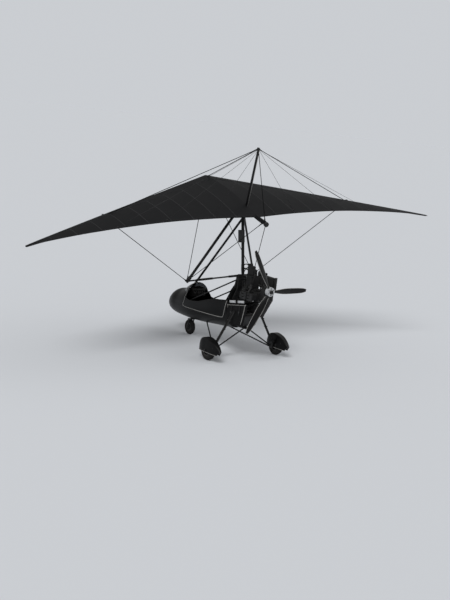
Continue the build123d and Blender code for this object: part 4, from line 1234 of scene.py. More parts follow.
class TRIKE_OT_saddle_bag(bpy.types.Operator):
    """Sew the saddle bag: a sagging cloth shell with piping, straps and the hanger above it"""

    bl_idname = "trike.saddle_bag"
    bl_label = "Saddle bag"

    OUTLINE = ((243, 645), (208, 610), (-174, 638), (-192, 672), (-254, 1014), (-238, 1033), (234, 941),
               (246, 922))
    MIDDLE = Vector((8, 0, 805))
    # The top edge's rear end, and its fall per length towards the front
    TOP_REAR, TOP_FALL = (-238, 1033), 0.195
    # The bag's inner and outer distance from the keel, and the height below which it bulges and sags
    INNER, OUTER = 199, 284
    BASE_Z = 820
    # The shell's rings: share of the depth and share of the outline
    RINGS = ((0.0, 0.2), (0.0, 0.5), (0.0, 0.8), (0.0, 0.93), (0.03, 0.985), (0.25, 1.0), (0.6, 1.0),
             (0.88, 0.985), (0.97, 0.95), (0.985, 0.8), (0.985, 0.5), (0.985, 0.2))
    # The hanger's rail over the bag, its two arms from the bearers, and the two pale plates on it
    RAIL = ((208, 1012), (-256, 1101))
    RAIL_Y = 275
    ARMS = ((120, 36, 1023), (-215, 84, 1069))
    PLATES = ((187, 10), (-53, -238))
    LID_STRAPS = (-120, 115)
    HANGING_STRAPS = (160, 45, -85, -205)

    def depth(self, share, z):
        """The distance out from the keel at a share of the bag's depth: it is fuller towards its base."""
        low = max(0.0, (self.BASE_Z - z) / 220)
        return self.INNER + (self.OUTER - self.INNER) * share * (0.86 + 0.14 * low)

    def shell(self):
        """Rings from the middle of the inner face, round the sides, to the middle of the outer face."""
        outline = side_path(self.OUTLINE, 5, closed=True)
        points = []
        for share, grow in self.RINGS:
            for p in outline:
                q = self.MIDDLE + (p - self.MIDDLE) * grow
                y = self.depth(share, q.z)
                if share > 0.98:
                    y += 3.0 * (1 - grow) + 3.5 * sin(q.x / 38 + q.z / 61) * sin(q.z / 47)
                sag = max(0.0, (self.BASE_Z - q.z) / 55) * sin(q.x / 70) if 0 < share < 0.98 else 0.0
                points.append(at(q.x, min(y, self.OUTER + 4), q.z - sag))
        piece = keep_mesh("left_bag_shell", points, sleeve_faces(len(self.RINGS), len(outline)))
        modify(piece, "Smooth", "SUBSURF", levels=1, render_levels=1)
        fit(piece, "bag", "bag_cloth", "trike", "left_bag")

    def piping(self):
        """Pale piping up the rear edge and along the top, and dark piping round the rest."""
        line = []
        for p in side_path(self.OUTLINE[3:] + self.OUTLINE[:3], 6, closed=True):
            q = self.MIDDLE + (p - self.MIDDLE) * 0.992
            line.append(at(q.x, self.depth(0.93, q.z) + 1, q.z))
        pale = 4 * 6 + 2
        Build().tube(line[:pale], 4.8, 8).fit("left_bag_piping", "trim", "bag_cloth")
        Build().tube(line[pale - 1 :] + line[:1], 4.6, 8).fit("left_bag_hem", "webbing", "bag_cloth")

    def rail_z(self, x):
        """The height of the hanger's rail at a place along it."""
        (xa, za), (xb, zb) = self.RAIL
        return za + (zb - za) * (xa - x) / (xa - xb)

    def top_z(self, x):
        """The height of the bag's top edge at a place along it."""
        rear_x, rear_z = self.TOP_REAR
        return rear_z - self.TOP_FALL * (x - rear_x)

    def straps(self):
        """Two lid straps with buckles, and the webbing that hangs the bag from the rail."""
        straps, buckles = Build(), Build()
        for x in self.LID_STRAPS:
            top = self.top_z(x)
            path = [(x, 205, top + 2), (x, 262, top + 1), (x, 278, top - 20)]
            path += [(x, 281, top - 120), (x, 284, top - 190)]
            straps.strap(all_at(path), 14, 1.6, steps=6)
            buckles.slab(at(x, 286, top - 132), (FORE, UP, LEFT), (20, 16, 3.5), 1.5)
        for x in self.HANGING_STRAPS:
            low, high = self.top_z(x) - 4, self.rail_z(x)
            path = ((x, 268, low), (x, 272, (low + high) / 2), (x, 275, high + 4))
            straps.strap(all_at(path), 11, 1.6, steps=6)
        straps.fit("left_bag_straps", "webbing", "bag_cloth")
        buckles.fit("left_bag_buckles", "fitting", "fittings")

    def hanger(self):
        """The rail over the bag on its two arms from the engine's bearers, and the pale plates it carries."""
        rail, plates = Build(), Build()
        (xa, za), (xb, zb) = self.RAIL
        rail.tube(all_at(((xa, self.RAIL_Y, za), (xb, self.RAIL_Y, zb))), 8, 12)
        for x, inner, z in self.ARMS:
            rail.tube(all_at(((x, inner, z), (x + 20, self.RAIL_Y, self.rail_z(x + 20)))), 8, 12)
        along = (at(xb, 0, zb) - at(xa, 0, za)).normalized()
        up = LEFT.cross(along).normalized()
        for front, rear in self.PLATES:
            middle, half = (front + rear) / 2, (front - rear) / 2
            plates.slab(at(middle, 284, self.rail_z(middle)), (along, up, LEFT), (half, 21, 2), 1)
            for share in (-0.8, 0.8):
                rail.bolt(at(middle, 286, self.rail_z(middle)) + along * half / 1000 * share, LEFT, 5)
        rail.fit("bag_rail", "frame_tube", "frame_tube")
        plates.fit("bag_hanger_plates", "hub_plate", "fittings")

    def execute(self, context):
        self.shell()
        self.piping()
        self.straps()
        self.hanger()
        return {"FINISHED"}


class TRIKE_OT_engine_details(bpy.types.Operator):
    """Fit plugs, carburettors, hoses, radiator duct, filler bottle, battery and regulator round the engine"""

    bl_idname = "trike.engine_details"
    bl_label = "Engine details"

    CYLINDER_X = (-165, -318)
    CRANK_Z = 1205
    HEAD_Y = 262
    # How far each head's plugs and bolts stand from its middle, and the crankcase's bolts
    PLUG_RISE, HEAD_BOLT_X, HEAD_BOLT_Z = 26, 50, 54
    CASE_BOLTS_X, CASE_BOLTS_Z = (-385, -100), 1291
    IGNITION_BOX = (-245, 0, 1306)
    # A carburettor's distance from the keel, and the heights of its throat, its dome and its bowl
    CARB_Y, THROAT_Z, DOME_Z, BOWL_Z = 150, 1350, 1372, 1330
    OIL_CAN = (-2, 158, 1090)
    # Each hose's radius and its route: two of the coolant's, two of the fuel's, then breather and oil lines
    HOSES = (
        (11, ((-40, -332, 1538), (-44, -320, 1572), (-70, -250, 1566), (-120, -180, 1490), (-150, -140, 1380),
              (-160, -110, 1300))),
        (11, ((-300, -332, 1324), (-302, -318, 1290), (-318, -270, 1285), (-330, -235, 1272))),
        (4.2, ((-70, 66, 836), (-66, 88, 900), (-62, 104, 1010), (-100, 128, 1180), (-180, 146, 1296),
               (-204, 150, 1318))),
        (4.2, ((30, -60, 836), (20, -96, 905), (-46, -110, 1020), (-100, -128, 1180), (-180, -146, 1296),
               (-204, -150, 1318))),
        (6, ((178, 20, 1120), (168, 36, 1240), (196, 38, 1420), (252, 36, 1560), (276, 34, 1680))),
        (7, ((-100, 30, 1600), (-132, 44, 1588), (-166, 62, 1520), (-172, 96, 1420), (-148, 114, 1330),
             (-130, 88, 1290))),
        (9, ((66, 18, 1690), (122, 30, 1716), (190, 40, 1690), (226, 40, 1600), (226, 19, 1500))),
        (8, ((58, -16, 1640), (110, -10, 1660), (168, 8, 1620), (196, 24, 1540), (214, 16, 1450))),
        (7.5, ((-92, 96, 1240), (-40, 150, 1230), (-2, 158, 1218))),
        (7.5, ((-20, 158, 1102), (-60, 140, 1080), (-110, 96, 1120))),
    )
    # The radiator's fins and bars: how many, where the first stands, their spacing and their faces
    FINS, BARS = 48, 12
    FIN_X, FIN_STEP, FIN_Z = -292, 5.7, 1430
    FIN_FACES, BAR_FACES = (-353.5, -310.5), (-355, -309)
    BAR_X, BAR_Z, BAR_STEP = -160, 1338, 16.7
    RADIATOR_CAP = (-10, -332, 1541)
    # The silencer's two ends, and the springs over its down pipes
    SILENCER = ((-60, -285, 800), (-250, -285, 1120))
    SPRINGS = ((-165, 1075), (-272, 1120))
    # The duct's rings: distance from the keel, its rear and front ends, its bottom and top
    DUCT = (
        (-307, -292, -28, 1336, 1529),
        (-280, -286, -28, 1336, 1531),
        (-190, -176, -26, 1338, 1533),
        (-96, -112, -24, 1352, 1534),
    )
    DUCT_STEPS = 12
    BOTTLE = (-60, -150, 1533)
    # The battery's place along the aircraft, and the heights of its case, lid and tray
    BATTERY_X, CASE_Z, LID_Z, TRAY_Z = -222, 966, 1050, 883
    BATTERY_STRAP = ((-61, 900), (-61, 1054), (-50, 1060), (50, 1060), (61, 1054), (61, 900))
    # The tray's hangers: place along the aircraft, and where each meets its bearer
    TRAY_HANGERS = ((-136, 73, 1058), (-308, 97, 1082))
    REGULATOR_Z = 1244
    # The air box: its middle, its side's ribs, its clips, and the ribs round its intake
    BOX_X, BOX_Y, RIB_Z, RIB_STEP = -64, 92, 1304, 40
    CLIP_X, CLIP_Z = (-110, -18), 1528
    INTAKE_X, INTAKE_Z = -26, (1562, 1636)

    def plugs(self):
        """Plug caps and leads, the heads' bolts, the crankcase's bolts and the ignition box."""
        caps, leads, bolts, box = Build(), Build(), Build(), Build()
        x0, _, z0 = self.IGNITION_BOX
        for x in self.CYLINDER_X:
            for side in SIDES:
                out = LEFT * side
                for dz in (-self.PLUG_RISE, self.PLUG_RISE):
                    p = at(x + 18, side * self.HEAD_Y, self.CRANK_Z + dz)
                    tilt = out + UP * 0.35
                    caps.turned(p, tilt, [(10, -4), (10, 10), (7.5, 14), (7.5, 36), (5, 40)], 14)
                    tip = p + tilt.normalized() * 0.038
                    route = [tip, tip + out * 0.018 + UP * 0.03, at(x + 8, side * 225, 1312)]
                    route.append(at(x * 0.5 - 130, side * 100, 1318 + dz * 0.3))
                    route.append(at(-250 + dz * 0.4, side * 36, 1308))
                    leads.tube(smooth_path(route, 8), 3.6, 8)
                for dx in (-self.HEAD_BOLT_X, self.HEAD_BOLT_X):
                    for dz in (-self.HEAD_BOLT_Z, self.HEAD_BOLT_Z):
                        bolts.bolt(at(x + dx, side * self.HEAD_Y, self.CRANK_Z + dz), out, 6)
        box.block(self.IGNITION_BOX, (75, 45, 18), 6)
        box.block((x0, 0, z0 + 20), (60, 34, 4), 2)
        for y in range(-60, 61, 30):
            for x in self.CASE_BOLTS_X:
                bolts.bolt(at(x, y, self.CASE_BOLTS_Z), UP, 6)
        caps.fit("plug_caps", "moulded", "moulded_plastic")
        leads.fit("plug_leads", "rubber_hose", "moulded_plastic")
        box.fit("ignition_box", "moulded", "moulded_plastic")
        bolts.fit("engine_bolts", "wire", "fittings")

    def carburettors(self):
        """Two carburettors with their domes and bowls, on rubbers that lead to the air box."""
        bodies, rubber = Build(), Build()
        for side in SIDES:
            y = side * self.CARB_Y
            throat = [(19, -30), (26, -26), (26, 20), (20, 26), (20, 40)]
            bodies.turned(at(-200, y, self.THROAT_Z), FORE, throat)
            bodies.turned(at(-204, y, self.DOME_Z), UP, [(22, -10), (22, 18), (18, 24), (7, 27), (7, 36)])
            bodies.turned(at(-204, y, self.BOWL_Z), UP, [(12, -26), (20, -22), (20, 8)])
            route = [(-168, y, self.THROAT_Z), (-140, y * 0.92, 1356)]
            route += [(-112, side * 108, 1372), (-108, side * 84, 1380)]
            rubber.tube(smooth_path(all_at(route), 8), 21.5, 16)
            for x in (-156, -120):
                band = [(22.5, -4), (24, -3), (24, 3), (22.5, 4)]
                rubber.turned(at(x, y * 0.97, 1353), FORE, band, 20)
        bodies.fit("carburettors", "casting", "engine_alloy")
        rubber.fit("intake_rubbers", "rubber_hose", "moulded_plastic")

    def hoses(self):
        """The hoses with a clip at both ends, and the oil can on its bracket."""
        hoses, clips, can = Build(), Build(), Build()
        for radius, route in self.HOSES:
            line = smooth_path(all_at(route), 8)
            hoses.tube(line, radius, 12)
            clip = [(radius, -4), (radius * 1.18, -4), (radius * 1.18, 4), (radius, 4)]
            for end, other in ((line[0], line[1]), (line[-1], line[-2])):
                run = (other - end).normalized()
                clips.turned(end + run * 0.012, run, clip, 18)
        x, y, z = self.OIL_CAN
        shell = [(40, 0), (46, 6), (46, 136), (38, 146), (16, 148)]
        neck = [(16, 166), (19, 167), (19, 182), (0, 186)]
        can.turned(at(x, y, z), UP, shell + neck, 28)
        can.turned(at(x, y, z + 40), UP, [(46.5, 0), (48.2, 1), (48.2, 13), (46.5, 14)], 28)
        can.block((x + 6, y - 58, z + 46), (12, 30, 1.5))
        can.fit("oil_can", "fitting", "fittings")
        hoses.fit("engine_hoses", "rubber_hose", "moulded_plastic")
        clips.fit("hose_clips", "wire", "fittings")

    def radiator(self):
        """Upright fins and level bars on both faces of the radiator, and its cap."""
        fins = Build()
        for k in range(self.FINS):
            for y in self.FIN_FACES:
                fins.block((self.FIN_X + self.FIN_STEP * k, y, self.FIN_Z), (0.9, 2.2, 96))
        for k in range(self.BARS):
            for y in self.BAR_FACES:
                fins.block((self.BAR_X, y, self.BAR_Z + self.BAR_STEP * k), (136, 1.4, 1.6))
        fins.turned(at(*self.RADIATOR_CAP), UP, [(14, 0), (14, 6), (19, 7), (19, 18), (12, 21), (0, 21)], 22)
        fins.fit("radiator_fins", "casting", "engine_alloy")

    def exhaust(self):
        """Bands and the tail pipe on the silencer, and the springs that hold its pipes."""
        low, high = (at(*end) for end in self.SILENCER)
        run = (high - low).normalized()
        bands = Build()
        for share in (0.0, 0.32, 0.68, 1.0):
            bands.turned(low + (high - low) * share, run, [(58, -8), (60.5, -7), (60.5, 7), (58, 8)], 32)
        bands.turned(low, -run, [(57, 0), (50, 8), (22, 12), (22, 45), (19, 45), (19, 10)], 28)
        for x, z in self.SPRINGS:
            for y in (-262, -308):
                turns = circle(8) * 7
                coil = [at(x + 7 * cos(a), y + 3 * sin(a), z - 30 + k * 1.1) for k, a in enumerate(turns)]
                bands.tube(coil, 1.1, 5)
        bands.fit("silencer_bands", "exhaust", "exhaust_steel")

    def duct(self):
        """The ribbed duct from the radiator's inner face to the air box, and the filler bottle on it."""
        body, ribs, bottle = Build(), Build(), Build()
        corners = []
        near, far = self.DUCT[0][0], self.DUCT[-1][0]
        for k in range(self.DUCT_STEPS + 1):
            y = near + (far - near) * k / self.DUCT_STEPS
            rear, front, low, high = between_rows(self.DUCT, y)
            ring = all_at(((rear, y, low), (front, y, low), (front, y, high), (rear, y, high)))
            corners += ring
            if k % 2:
                ribs.tube(ring, 3.5, 6, closed=True)
        body.add(corners, sleeve_faces(self.DUCT_STEPS + 1, 4))
        for z in (1347, 1520):
            for x in (-280, -160, -40):
                ribs.block((x, -304, z), (12, 4, 9), 2)
        x, y, z = self.BOTTLE
        profile = [(30, 0), (38, 8), (38, 70), (30, 84), (14, 88), (14, 94), (19, 95), (19, 108), (0, 110)]
        bottle.turned(at(x, y, z), UP, profile, 26)
        bottle.turned(at(x, y, z + 27), UP, [(38, 0), (39.5, 1), (39.5, 13), (38, 14)], 26)
        fit(soften(body.piece("radiator_shroud"), 10), "moulded", "moulded_plastic")
        ribs.fit("shroud_ribs", "moulded", "moulded_plastic")
        bottle.fit("filler_bottle", "tank", "tank_plastic")

    def battery(self):
        """The battery on a tray that hangs from the bearers under the engine, and its strap."""
        case, tray, strap = Build(), Build(), Build()
        x0 = self.BATTERY_X
        case.block((x0, 0, self.CASE_Z), (98, 58, 80), 5)
        case.block((x0, 0, self.LID_Z), (100, 60, 7), 3)
        for dx in (-60, 60):
            case.turned(at(x0 + dx, 34, self.LID_Z + 5), UP, [(11, 0), (11, 8), (7, 10), (0, 11)], 16)
        rim_z = self.TRAY_Z + 13
        tray.block((x0, 0, self.TRAY_Z), (106, 66, 3), 1)
        for side in SIDES:
            tray.block((x0, side * 65, rim_z), (106, 2, 16), 1)
            tray.block((x0 + side * 105, 0, rim_z), (2, 66, 16), 1)
            for x, y, z in self.TRAY_HANGERS:
                tray.tube(all_at(((x, 66, 884), (x, 68, 960), (x, y, z)), side), 5.5)
                tray.bolt(at(x, side * 68, rim_z), LEFT * side, 6)
        for dx, radius in ((0, 3.5), (-12, 3), (12, 3)):
            strap.tube([at(x0 + dx, y, z) for y, z in self.BATTERY_STRAP], radius, 8)
        case.fit("battery", "moulded", "moulded_plastic")
        tray.fit("battery_tray", "frame_tube", "frame_tube")
        strap.fit("battery_strap", "rubber_hose", "moulded_plastic")

    def mast_boxes(self):
        """The finned regulator behind the mast, and the bracket that ties the air box to it."""
        case = Build()
        case.block((112, 0, self.REGULATOR_Z), (46, 58, 46), 5)
        for k in range(7):
            case.block((62, -48 + 16 * k, self.REGULATOR_Z), (8, 2, 42), 0.8)
        for z in (self.REGULATOR_Z - 22, self.REGULATOR_Z + 22):
            case.block((mast_x(z) - 34, 0, z), (18, 16, 8), 2)
        case.block((126, 0, 1496), (104, 26, 12), 3)
        for x in (30, 205):
            for side in SIDES:
                case.bolt(at(x, side * 14, 1508), UP, 5)
        case.fit("mast_boxes", "casting", "fittings")

    def air_box_lid(self):
        """Ribs and clips on the air box, and the ribs and mouth of its intake."""
        ribs = Build()
        for k in range(6):
            for side in SIDES:
                ribs.block((self.BOX_X, side * self.BOX_Y, self.RIB_Z + self.RIB_STEP * k), (60, 3, 4), 1.5)
        for x in self.CLIP_X:
            for side in SIDES:
                ribs.block((x, side * (self.BOX_Y + 1), self.CLIP_Z), (10, 4, 14), 2)
        for z in self.INTAKE_Z:
            ribs.block((self.INTAKE_X + (z - self.INTAKE_Z[0]) * 0.06, 0, z), (80, 53, 4), 1.5)
        ribs.turned(at(-107, 0, 1580), -FORE, [(34, 0), (40, 2), (40, 8), (30, 12), (26, 4)], 28)
        ribs.fit("air_box_ribs", "moulded", "moulded_plastic")

    def execute(self, context):
        self.plugs()
        self.carburettors()
        self.hoses()
        self.radiator()
        self.exhaust()
        self.air_box_lid()
        self.duct()
        self.battery()
        self.mast_boxes()
        return {"FINISHED"}


class TRIKE_OT_propeller_trim(bpy.types.Operator):
    """Line the blades' edges and bolt up the hub"""

    bl_idname = "trike.propeller_trim"
    bl_label = "Propeller trim"

    # The blades' sections as in the solids: radius, chord, thickness and pitch
    SECTIONS = (
        (62, 46, 40, 38),
        (150, 74, 26, 33),
        (320, 116, 18, 25),
        (560, 112, 12, 17),
        (760, 90, 8, 12),
        (850, 46, 5, 10),
    )
    FIRST_BLADE = 59.6
    BOLT_RING = 60

    def edge_point(self, radius, side, angle):
        """A point on a blade's leading (side 1) or trailing edge, turned to the blade's angle."""
        chord, _, pitch = between_rows(self.SECTIONS, radius)
        a = radians(pitch)
        across = Vector((-sin(a), cos(a), 0)) * side * chord / 2
        turn = Matrix.Rotation(radians(angle - 90), 3, "X")
        return at(*PROP_HUB) + turn @ Vector((across.x, across.y, radius)) / 1000

    def execute(self, context):
        edges, bolts = Build(), Build()
        for k in range(3):
            angle = self.FIRST_BLADE + 120 * k
            for side in SIDES:
                line = [self.edge_point(r, side, angle) for r in range(110, 846, 20)]
                edges.tube(line, 4.4 if side > 0 else 3.6, 8, squash=0.8)
        edges.fit("blade_edging", "trim", "blade_composite", "propeller")
        for k in range(6):
            a = radians(30 + 60 * k)
            place = (PROP_HUB[0] - 32, self.BOLT_RING * cos(a), PROP_HUB[2] + self.BOLT_RING * sin(a))
            bolts.bolt(at(*place), -FORE, 7.5)
        bolts.fit("hub_bolts", "fitting", "fittings", "propeller")
        return {"FINISHED"}


class TRIKE_OT_wheels(bpy.types.Operator):
    """Mould the tyres' tread, and fit the wheels' bolts, caps and valves"""

    bl_idname = "trike.wheels"
    bl_label = "Wheels"

    # Body, centre, tyre radius, width, bead radius, blocks round the tread
    WHEELS = (
        ("left_wheel", (0, 785, 180), 180, 104, 96, 44),
        ("right_wheel", (0, -785, 180), 180, 104, 96, 44),
        ("nose_wheel", (1730, 0, 150), 150, 86, 74, 38),
    )
    # The crown's profile: share of half the width, and drop below the tyre's radius
    CROWN = ((0.66, 9.0), (0.62, 8.0), (0.34, 2.6), (0.31, 2.3), (0.28, 2.0), (0.0, 0.4))

    # The rim's bolts: how many, how far inside the bead and how far out; the valve's place and angle
    HUB_BOLTS, BOLT_INSET, BOLT_OUT = 5, 34, 0.014
    VALVE_INSET, VALVE_ANGLE = 20, 35

    def tread_profile(self, radius, width, bead):
        """(radius, distance across) from bead to bead over the crown."""
        w, shoulder = width / 2, radius - 34
        half = [(bead + 1, w - 20), (bead + 4, w - 13), (bead + 10, w - 9.5), (bead + 22, w - 4)]
        half += [((bead + 8 + shoulder) / 2 + 8, w - 1.4), (shoulder - 4, w - 3.5), (shoulder + 8, w - 7.5)]
        half += [(shoulder + 19, w - 14)] + [(radius - drop, w * share) for share, drop in self.CROWN]
        return half + [(r, -y) for r, y in reversed(half[:-1])]

    def groove(self, share, on_shoulder, step):
        """How deep the tread is cut: two grooves all round, and cuts across the ribs and shoulders."""
        if 0.26 < share < 0.335:
            return 4.0
        if share > 0.6 and on_shoulder and step % 4 == 0:
            return 3.6
        if 0.335 <= share <= 0.63 and step % 4 == 2:
            return 2.2
        return 0.0

    def tyre(self, body, centre, radius, width, bead, blocks):
        """A tyre with three ribs, cut across at the shoulders."""
        profile = self.tread_profile(radius, width, bead)
        steps = blocks * 4
        points = []
        for i, a in enumerate(circle(steps)):
            for r, y in profile:
                cut = self.groove(abs(y) / (width / 2), r > radius - 28, i)
                rr = (r - cut) / 1000
                points.append(at(*centre) + Vector((rr * cos(a), y / 1000, rr * sin(a))))
        piece = keep_mesh(f"{body}_tread", points, grid_faces(steps, len(profile), True, True))
        fit(piece, "tyre", "tyre_rubber", body, body.replace("_wheel", "_tyre"))

    def hub(self, body, centre, width, bead):
        """The rim's bolts and a cap on both sides, and the valve."""
        build = Build()
        middle = at(*centre)
        for side in SIDES:
            out = LEFT * side
            for a in circle(self.HUB_BOLTS):
                away = Vector((cos(a), 0, sin(a))) * (bead - self.BOLT_INSET) / 1000
                build.bolt(middle + out * self.BOLT_OUT + away, out, 6)
            cap = [(30, -1), (30, 2), (24, 4), (16.5, 4.2)]
            build.turned(middle + out * (width / 2 - 8) / 1000, out, cap, 26)
        a = radians(self.VALVE_ANGLE)
        way = Vector((cos(a), 0, sin(a)))
        foot = middle + way * (bead - self.VALVE_INSET) / 1000 + LEFT * self.BOLT_OUT
        build.turned(foot, LEFT * 0.8 - way * 0.3, [(4, 0), (4, 18), (5, 19), (5, 27), (0, 28)], 12)
        build.fit(f"{body}_hub", "fitting", "wheel_alloy", body)

    def execute(self, context):
        for body, centre, radius, width, bead, blocks in self.WHEELS:
            self.tyre(body, centre, radius, width, bead, blocks)
            self.hub(body, centre, width, bead)
        return {"FINISHED"}


class TRIKE_OT_undercarriage(bpy.types.Operator):
    """Edge the spats and fit the bolts, brakes, brake lines, foot pegs and the steering head's cups"""

    bl_idname = "trike.undercarriage"
    bl_label = "Undercarriage"

    # The spats' open rim: place along it and half width, and its height
    SPAT_RIM = ((-296, 44), (-230, 54), (-120, 66), (0, 71.5), (120, 70), (196, 56), (240, 30), (251, 0))
    SPAT_RIM_Z = 151
    SPAT_SCREWS = ((-90, 330), (90, 310), (-200, 262))
    # The legs' two ends, and the bands that hold the brake lines along them
    LEG_FOOT, LEG_TOP = Vector((-1, 672, 250)), Vector((27, 298, 865))
    BAND_SHARES = (0.25, 0.5, 0.75)
    # The frame's bolts on the left, each mirrored to the right: place, the way it faces and size
    PAIRED_BOLTS = (
        ((46, 278, 865), FORE, 8),
        *(((34, 676, z), FORE, 7.5) for z in (160, 196, 232, 258)),
        *(((-34, 676, z), -FORE, 7.5) for z in (160, 196, 232, 258)),
        ((0, 871, 180), LEFT, 12),
        ((1220, 31, 497), LEFT, 8),
        ((-12, 31, 558), LEFT, 8),
        ((2180, 22, 480), LEFT, 9),
        *(((mast_x(z), 28, z), LEFT, 8) for z in (612, 664)),
    )
    SLEEVE_BOLTS_Z = (2095, 2280)
    CALIPER = (-62, 726, 196)
    BRAKE_LINE = ((-62, 716, 226), (-60, 700, 262), (-34, 668, 300), (-26, 560, 430), (-12, 420, 660),
                  (2, 318, 826), (-4, 250, 870))
    # The steering axis from the nose wheel's centre, the foot bar's height, its treads and the head's cups
    NOSE_AXLE, HEAD_LEAN = (1730, 150), 12
    FOOT_BAR_Z, TREAD = 558, (112, 203)
    CUPS_Z = (409, 531)
    # The treads' ribs: one rib's (radius, distance along the bar), their spacing and how many
    RIB = ((16.5, 3), (16.5, 8), (14.5, 8.5), (14.5, 12.5))
    RIB_STEP, RIBS = 9.8, 9

    def spat_edges(self):
        """A pale bead along each spat's open rim, and screws on its sides."""
        bead, screws = Build(), Build()
        for side in SIDES:
            y = side * TRACK_HALF
            ring = list(self.SPAT_RIM) + [(x, -half) for x, half in reversed(self.SPAT_RIM[:-1])]
            bead.tube(smooth_path([at(x, y + half, self.SPAT_RIM_Z) for x, half in ring], 6), 4.2, 8)
            for x, z in self.SPAT_SCREWS:
                for face in SIDES:
                    place = at(x, y + face * (64 - abs(x) * 0.02), z)
                    screws.turned(place, LEFT * face, [(8, 0), (8, 2), (6, 4), (0, 4.5)], 16)
        bead.fit("spat_edging", "trim", "spat_shell")
        screws.fit("spat_screws", "fitting", "fittings")

    def joints(self):
        """The bolts of the legs, axles, keel tube, mast and steering head."""
        bolts = Build()
        for side in SIDES:
            for (x, y, z), out, size in self.PAIRED_BOLTS:
                bolts.bolt(at(x, side * y, z), Vector((out.x, side * out.y, out.z)), size)
        for z in self.SLEEVE_BOLTS_Z:
            bolts.bolt(at(mast_x(z) + 34, 0, z), FORE, 8)
        bolts.fit("frame_bolts", "wire", "fittings")

    def brakes(self):
        """Brake calipers, their lines up the legs, and the bands that hold the lines."""
        discs, lines = Build(), Build()
        for side in SIDES:
            x, y, z = self.CALIPER
            discs.block((x, side * y, z), (22, 14, 30), 5)
            lines.tube(smooth_path(all_at(self.BRAKE_LINE, side), 8), 3.4, 8)
            foot, top = all_at((self.LEG_FOOT, self.LEG_TOP), side)
            run = (top - foot).normalized()
            axes = (FORE, run.cross(FORE).normalized(), run)
            for share in self.BAND_SHARES:
                discs.slab(foot + (top - foot) * share - FORE * 0.015, axes, (33.5, 18.5, 4), 2)
        discs.fit("brake_calipers", "fitting", "fittings")
        lines.fit("brake_lines", "rubber_hose", "moulded_plastic")

    def head_point(self, y, z):
        """A point beside the steering axis at a height."""
        x, axle_z = self.NOSE_AXLE
        return at(x - (z - axle_z) * tan(radians(self.HEAD_LEAN)), y, z)

    def foot_pegs(self):
        """Rubber treads on the foot bar, and the steering head's bearing cups."""
        pegs, cups = Build(), Build()
        profile = [(11.5, 0)]
        for k in range(self.RIBS):
            profile += [(r, d + k * self.RIB_STEP) for r, d in self.RIB]
        profile.append((11.5, 93))
        for side in SIDES:
            pegs.turned(self.head_point(side * self.TREAD[0], self.FOOT_BAR_Z), LEFT * side, profile, 18)
        pegs.fit("foot_pegs", "rubber_hose", "tyre_rubber", "front_fork")
        lean = radians(self.HEAD_LEAN)
        for z in self.CUPS_Z:
            band = [(29, -6), (32.5, -6), (32.5, 6), (29, 6)]
            cups.turned(self.head_point(0, z), (-sin(lean), 0, cos(lean)), band, 26)
        cups.fit("head_cups", "fitting", "fittings")

    def execute(self, context):
        self.spat_edges()
        self.joints()
        self.brakes()
        self.foot_pegs()
        return {"FINISHED"}


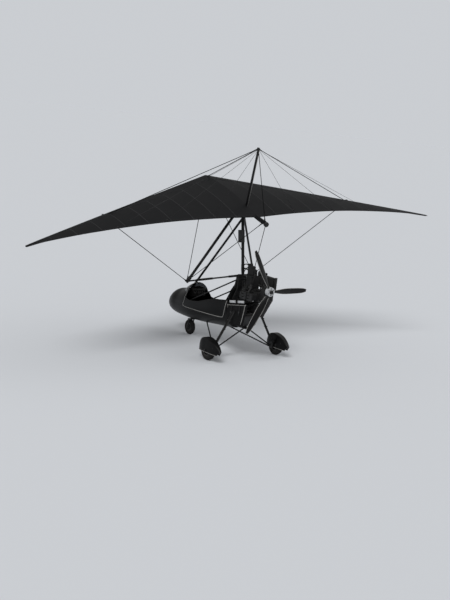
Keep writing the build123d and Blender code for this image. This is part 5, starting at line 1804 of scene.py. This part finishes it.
class TRIKE_OT_stage(bpy.types.Operator):
    """Lay the floor, hang the lamps and set up the camera"""

    bl_idname = "trike.stage"
    bl_label = "Stage"

    YAW, ELEVATION, ROLL = 37.569, 10.979, 6.365
    PLACE = (-13367, 10817, 4362)
    FLOOR_RADIUS = 400.0
    FLOOR_SIDES = 96
    # Direction to each light, and the softness of its shadow in degrees
    LIGHTS = (("key", (-0.55, 0.75, 0.95), 24.0), ("fill", (-0.2, -1.0, 0.8), 60.0))

    def execute(self, context):
        stage = settings().stage
        self.ground(stage)
        lit = stage.sky
        for name, away, softness in self.LIGHTS:
            lit += self.lamp(name, away, softness, getattr(stage, name))
        self.world(stage, lit)
        self.camera(context, stage)
        context.scene.view_settings.view_transform = "Standard"
        return {"FINISHED"}

    def ground(self, stage):
        """A wide matt floor."""
        rim = [(self.FLOOR_RADIUS * cos(a), self.FLOOR_RADIUS * sin(a), 0) for a in circle(self.FLOOR_SIDES)]
        piece = keep_mesh("studio_floor", rim, [tuple(range(self.FLOOR_SIDES))])
        material = bpy.data.materials.new("studio_floor")
        material.use_nodes = True
        shader = material.node_tree.nodes["Principled BSDF"]
        shader.inputs["Base Color"].default_value = (*stage.floor, 1.0)
        shader.inputs["Roughness"].default_value = 1.0
        shader.inputs["Specular IOR Level"].default_value = 0.0
        piece.data.materials.append(material)

    def lamp(self, name, away, softness, strength):
        """Hang a far soft light, and work out how brightly it lights a white floor."""
        away = Vector(away).normalized()
        data = bpy.data.lights.new(f"{name}_light", "SUN")
        data.energy = strength
        data.angle = radians(softness)
        lamp = bpy.data.objects.new(data.name, data)
        bpy.context.collection.objects.link(lamp)
        lamp.matrix_world = Matrix.Translation(away * 30) @ away.to_track_quat("Z", "Y").to_matrix().to_4x4()
        return strength * away.z / pi

    def world(self, stage, lit):
        """Even light from all round, seen by the camera as the colour of the lit floor."""
        world = bpy.data.worlds.new("studio")
        bpy.context.scene.world = world
        world.use_nodes = True
        tree = world.node_tree
        tree.nodes.clear()
        path = node(tree, "LightPath").outputs
        seen = math(tree, "MAXIMUM", path["Is Camera Ray"], path["Is Transmission Ray"])
        wall = node(tree, "Background", Color=(*stage.floor, 1.0), Strength=lit).outputs[0]
        light = node(tree, "Background", Color=(1.0, 1.0, 1.0, 1.0), Strength=stage.sky).outputs[0]
        mixed = node(tree, "MixShader", i0=seen, i1=light, i2=wall).outputs[0]
        node(tree, "OutputWorld", Surface=mixed)

    def camera(self, context, stage):
        """The fitted camera: it looks down from behind on the left, rolled a little."""
        yaw, elevation, roll = (radians(a) for a in (self.YAW, self.ELEVATION, self.ROLL))
        back = Vector((-cos(yaw) * cos(elevation), sin(yaw) * cos(elevation), sin(elevation)))
        level = UP.cross(back).normalized()
        upright = back.cross(level)
        right = level * cos(roll) + upright * sin(roll)
        up = back.cross(right)
        data = bpy.data.cameras.new("camera")
        data.lens = stage.lens
        data.sensor_fit = "VERTICAL"
        data.sensor_height = 36.0
        data.clip_end = 1000.0
        camera = bpy.data.objects.new("camera", data)
        bpy.context.collection.objects.link(camera)
        turn = Matrix((right, up, back)).transposed().to_4x4()
        camera.matrix_world = Matrix.Translation(at(*self.PLACE)) @ turn
        context.scene.camera = camera


class TRIKE_PT_panel(bpy.types.Panel):
    bl_idname = "TRIKE_PT_panel"
    bl_label = "Trike"
    bl_space_type = "VIEW_3D"
    bl_region_type = "UI"
    bl_category = "Trike"

    def draw(self, context):
        trike = context.scene.trike
        for group in (trike.sail, trike.paint, trike.stage):
            box = self.layout.box()
            for name in group.__annotations__:
                box.prop(group, name)
        for operator in OPERATORS:
            self.layout.operator(operator.bl_idname)


OPERATORS = (
    TRIKE_OT_finishes,
    TRIKE_OT_sail,
    TRIKE_OT_wing_fittings,
    TRIKE_OT_pod_trim,
    TRIKE_OT_seats,
    TRIKE_OT_saddle_bag,
    TRIKE_OT_engine_details,
    TRIKE_OT_propeller_trim,
    TRIKE_OT_wheels,
    TRIKE_OT_undercarriage,
    TRIKE_OT_stage,
)
CLASSES = (SailSettings, PaintSettings, StageSettings, TrikeSettings, *OPERATORS, TRIKE_PT_panel)


def register():
    for cls in CLASSES:
        bpy.utils.register_class(cls)
    bpy.types.Scene.trike = PointerProperty(type=TrikeSettings)


def unregister():
    del bpy.types.Scene.trike
    for cls in reversed(CLASSES):
        bpy.utils.unregister_class(cls)


def main():
    """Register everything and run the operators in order."""
    register()
    for operator in OPERATORS:
        group, name = operator.bl_idname.split(".")
        getattr(getattr(bpy.ops, group), name)()


if __name__ == "__main__":
    main()
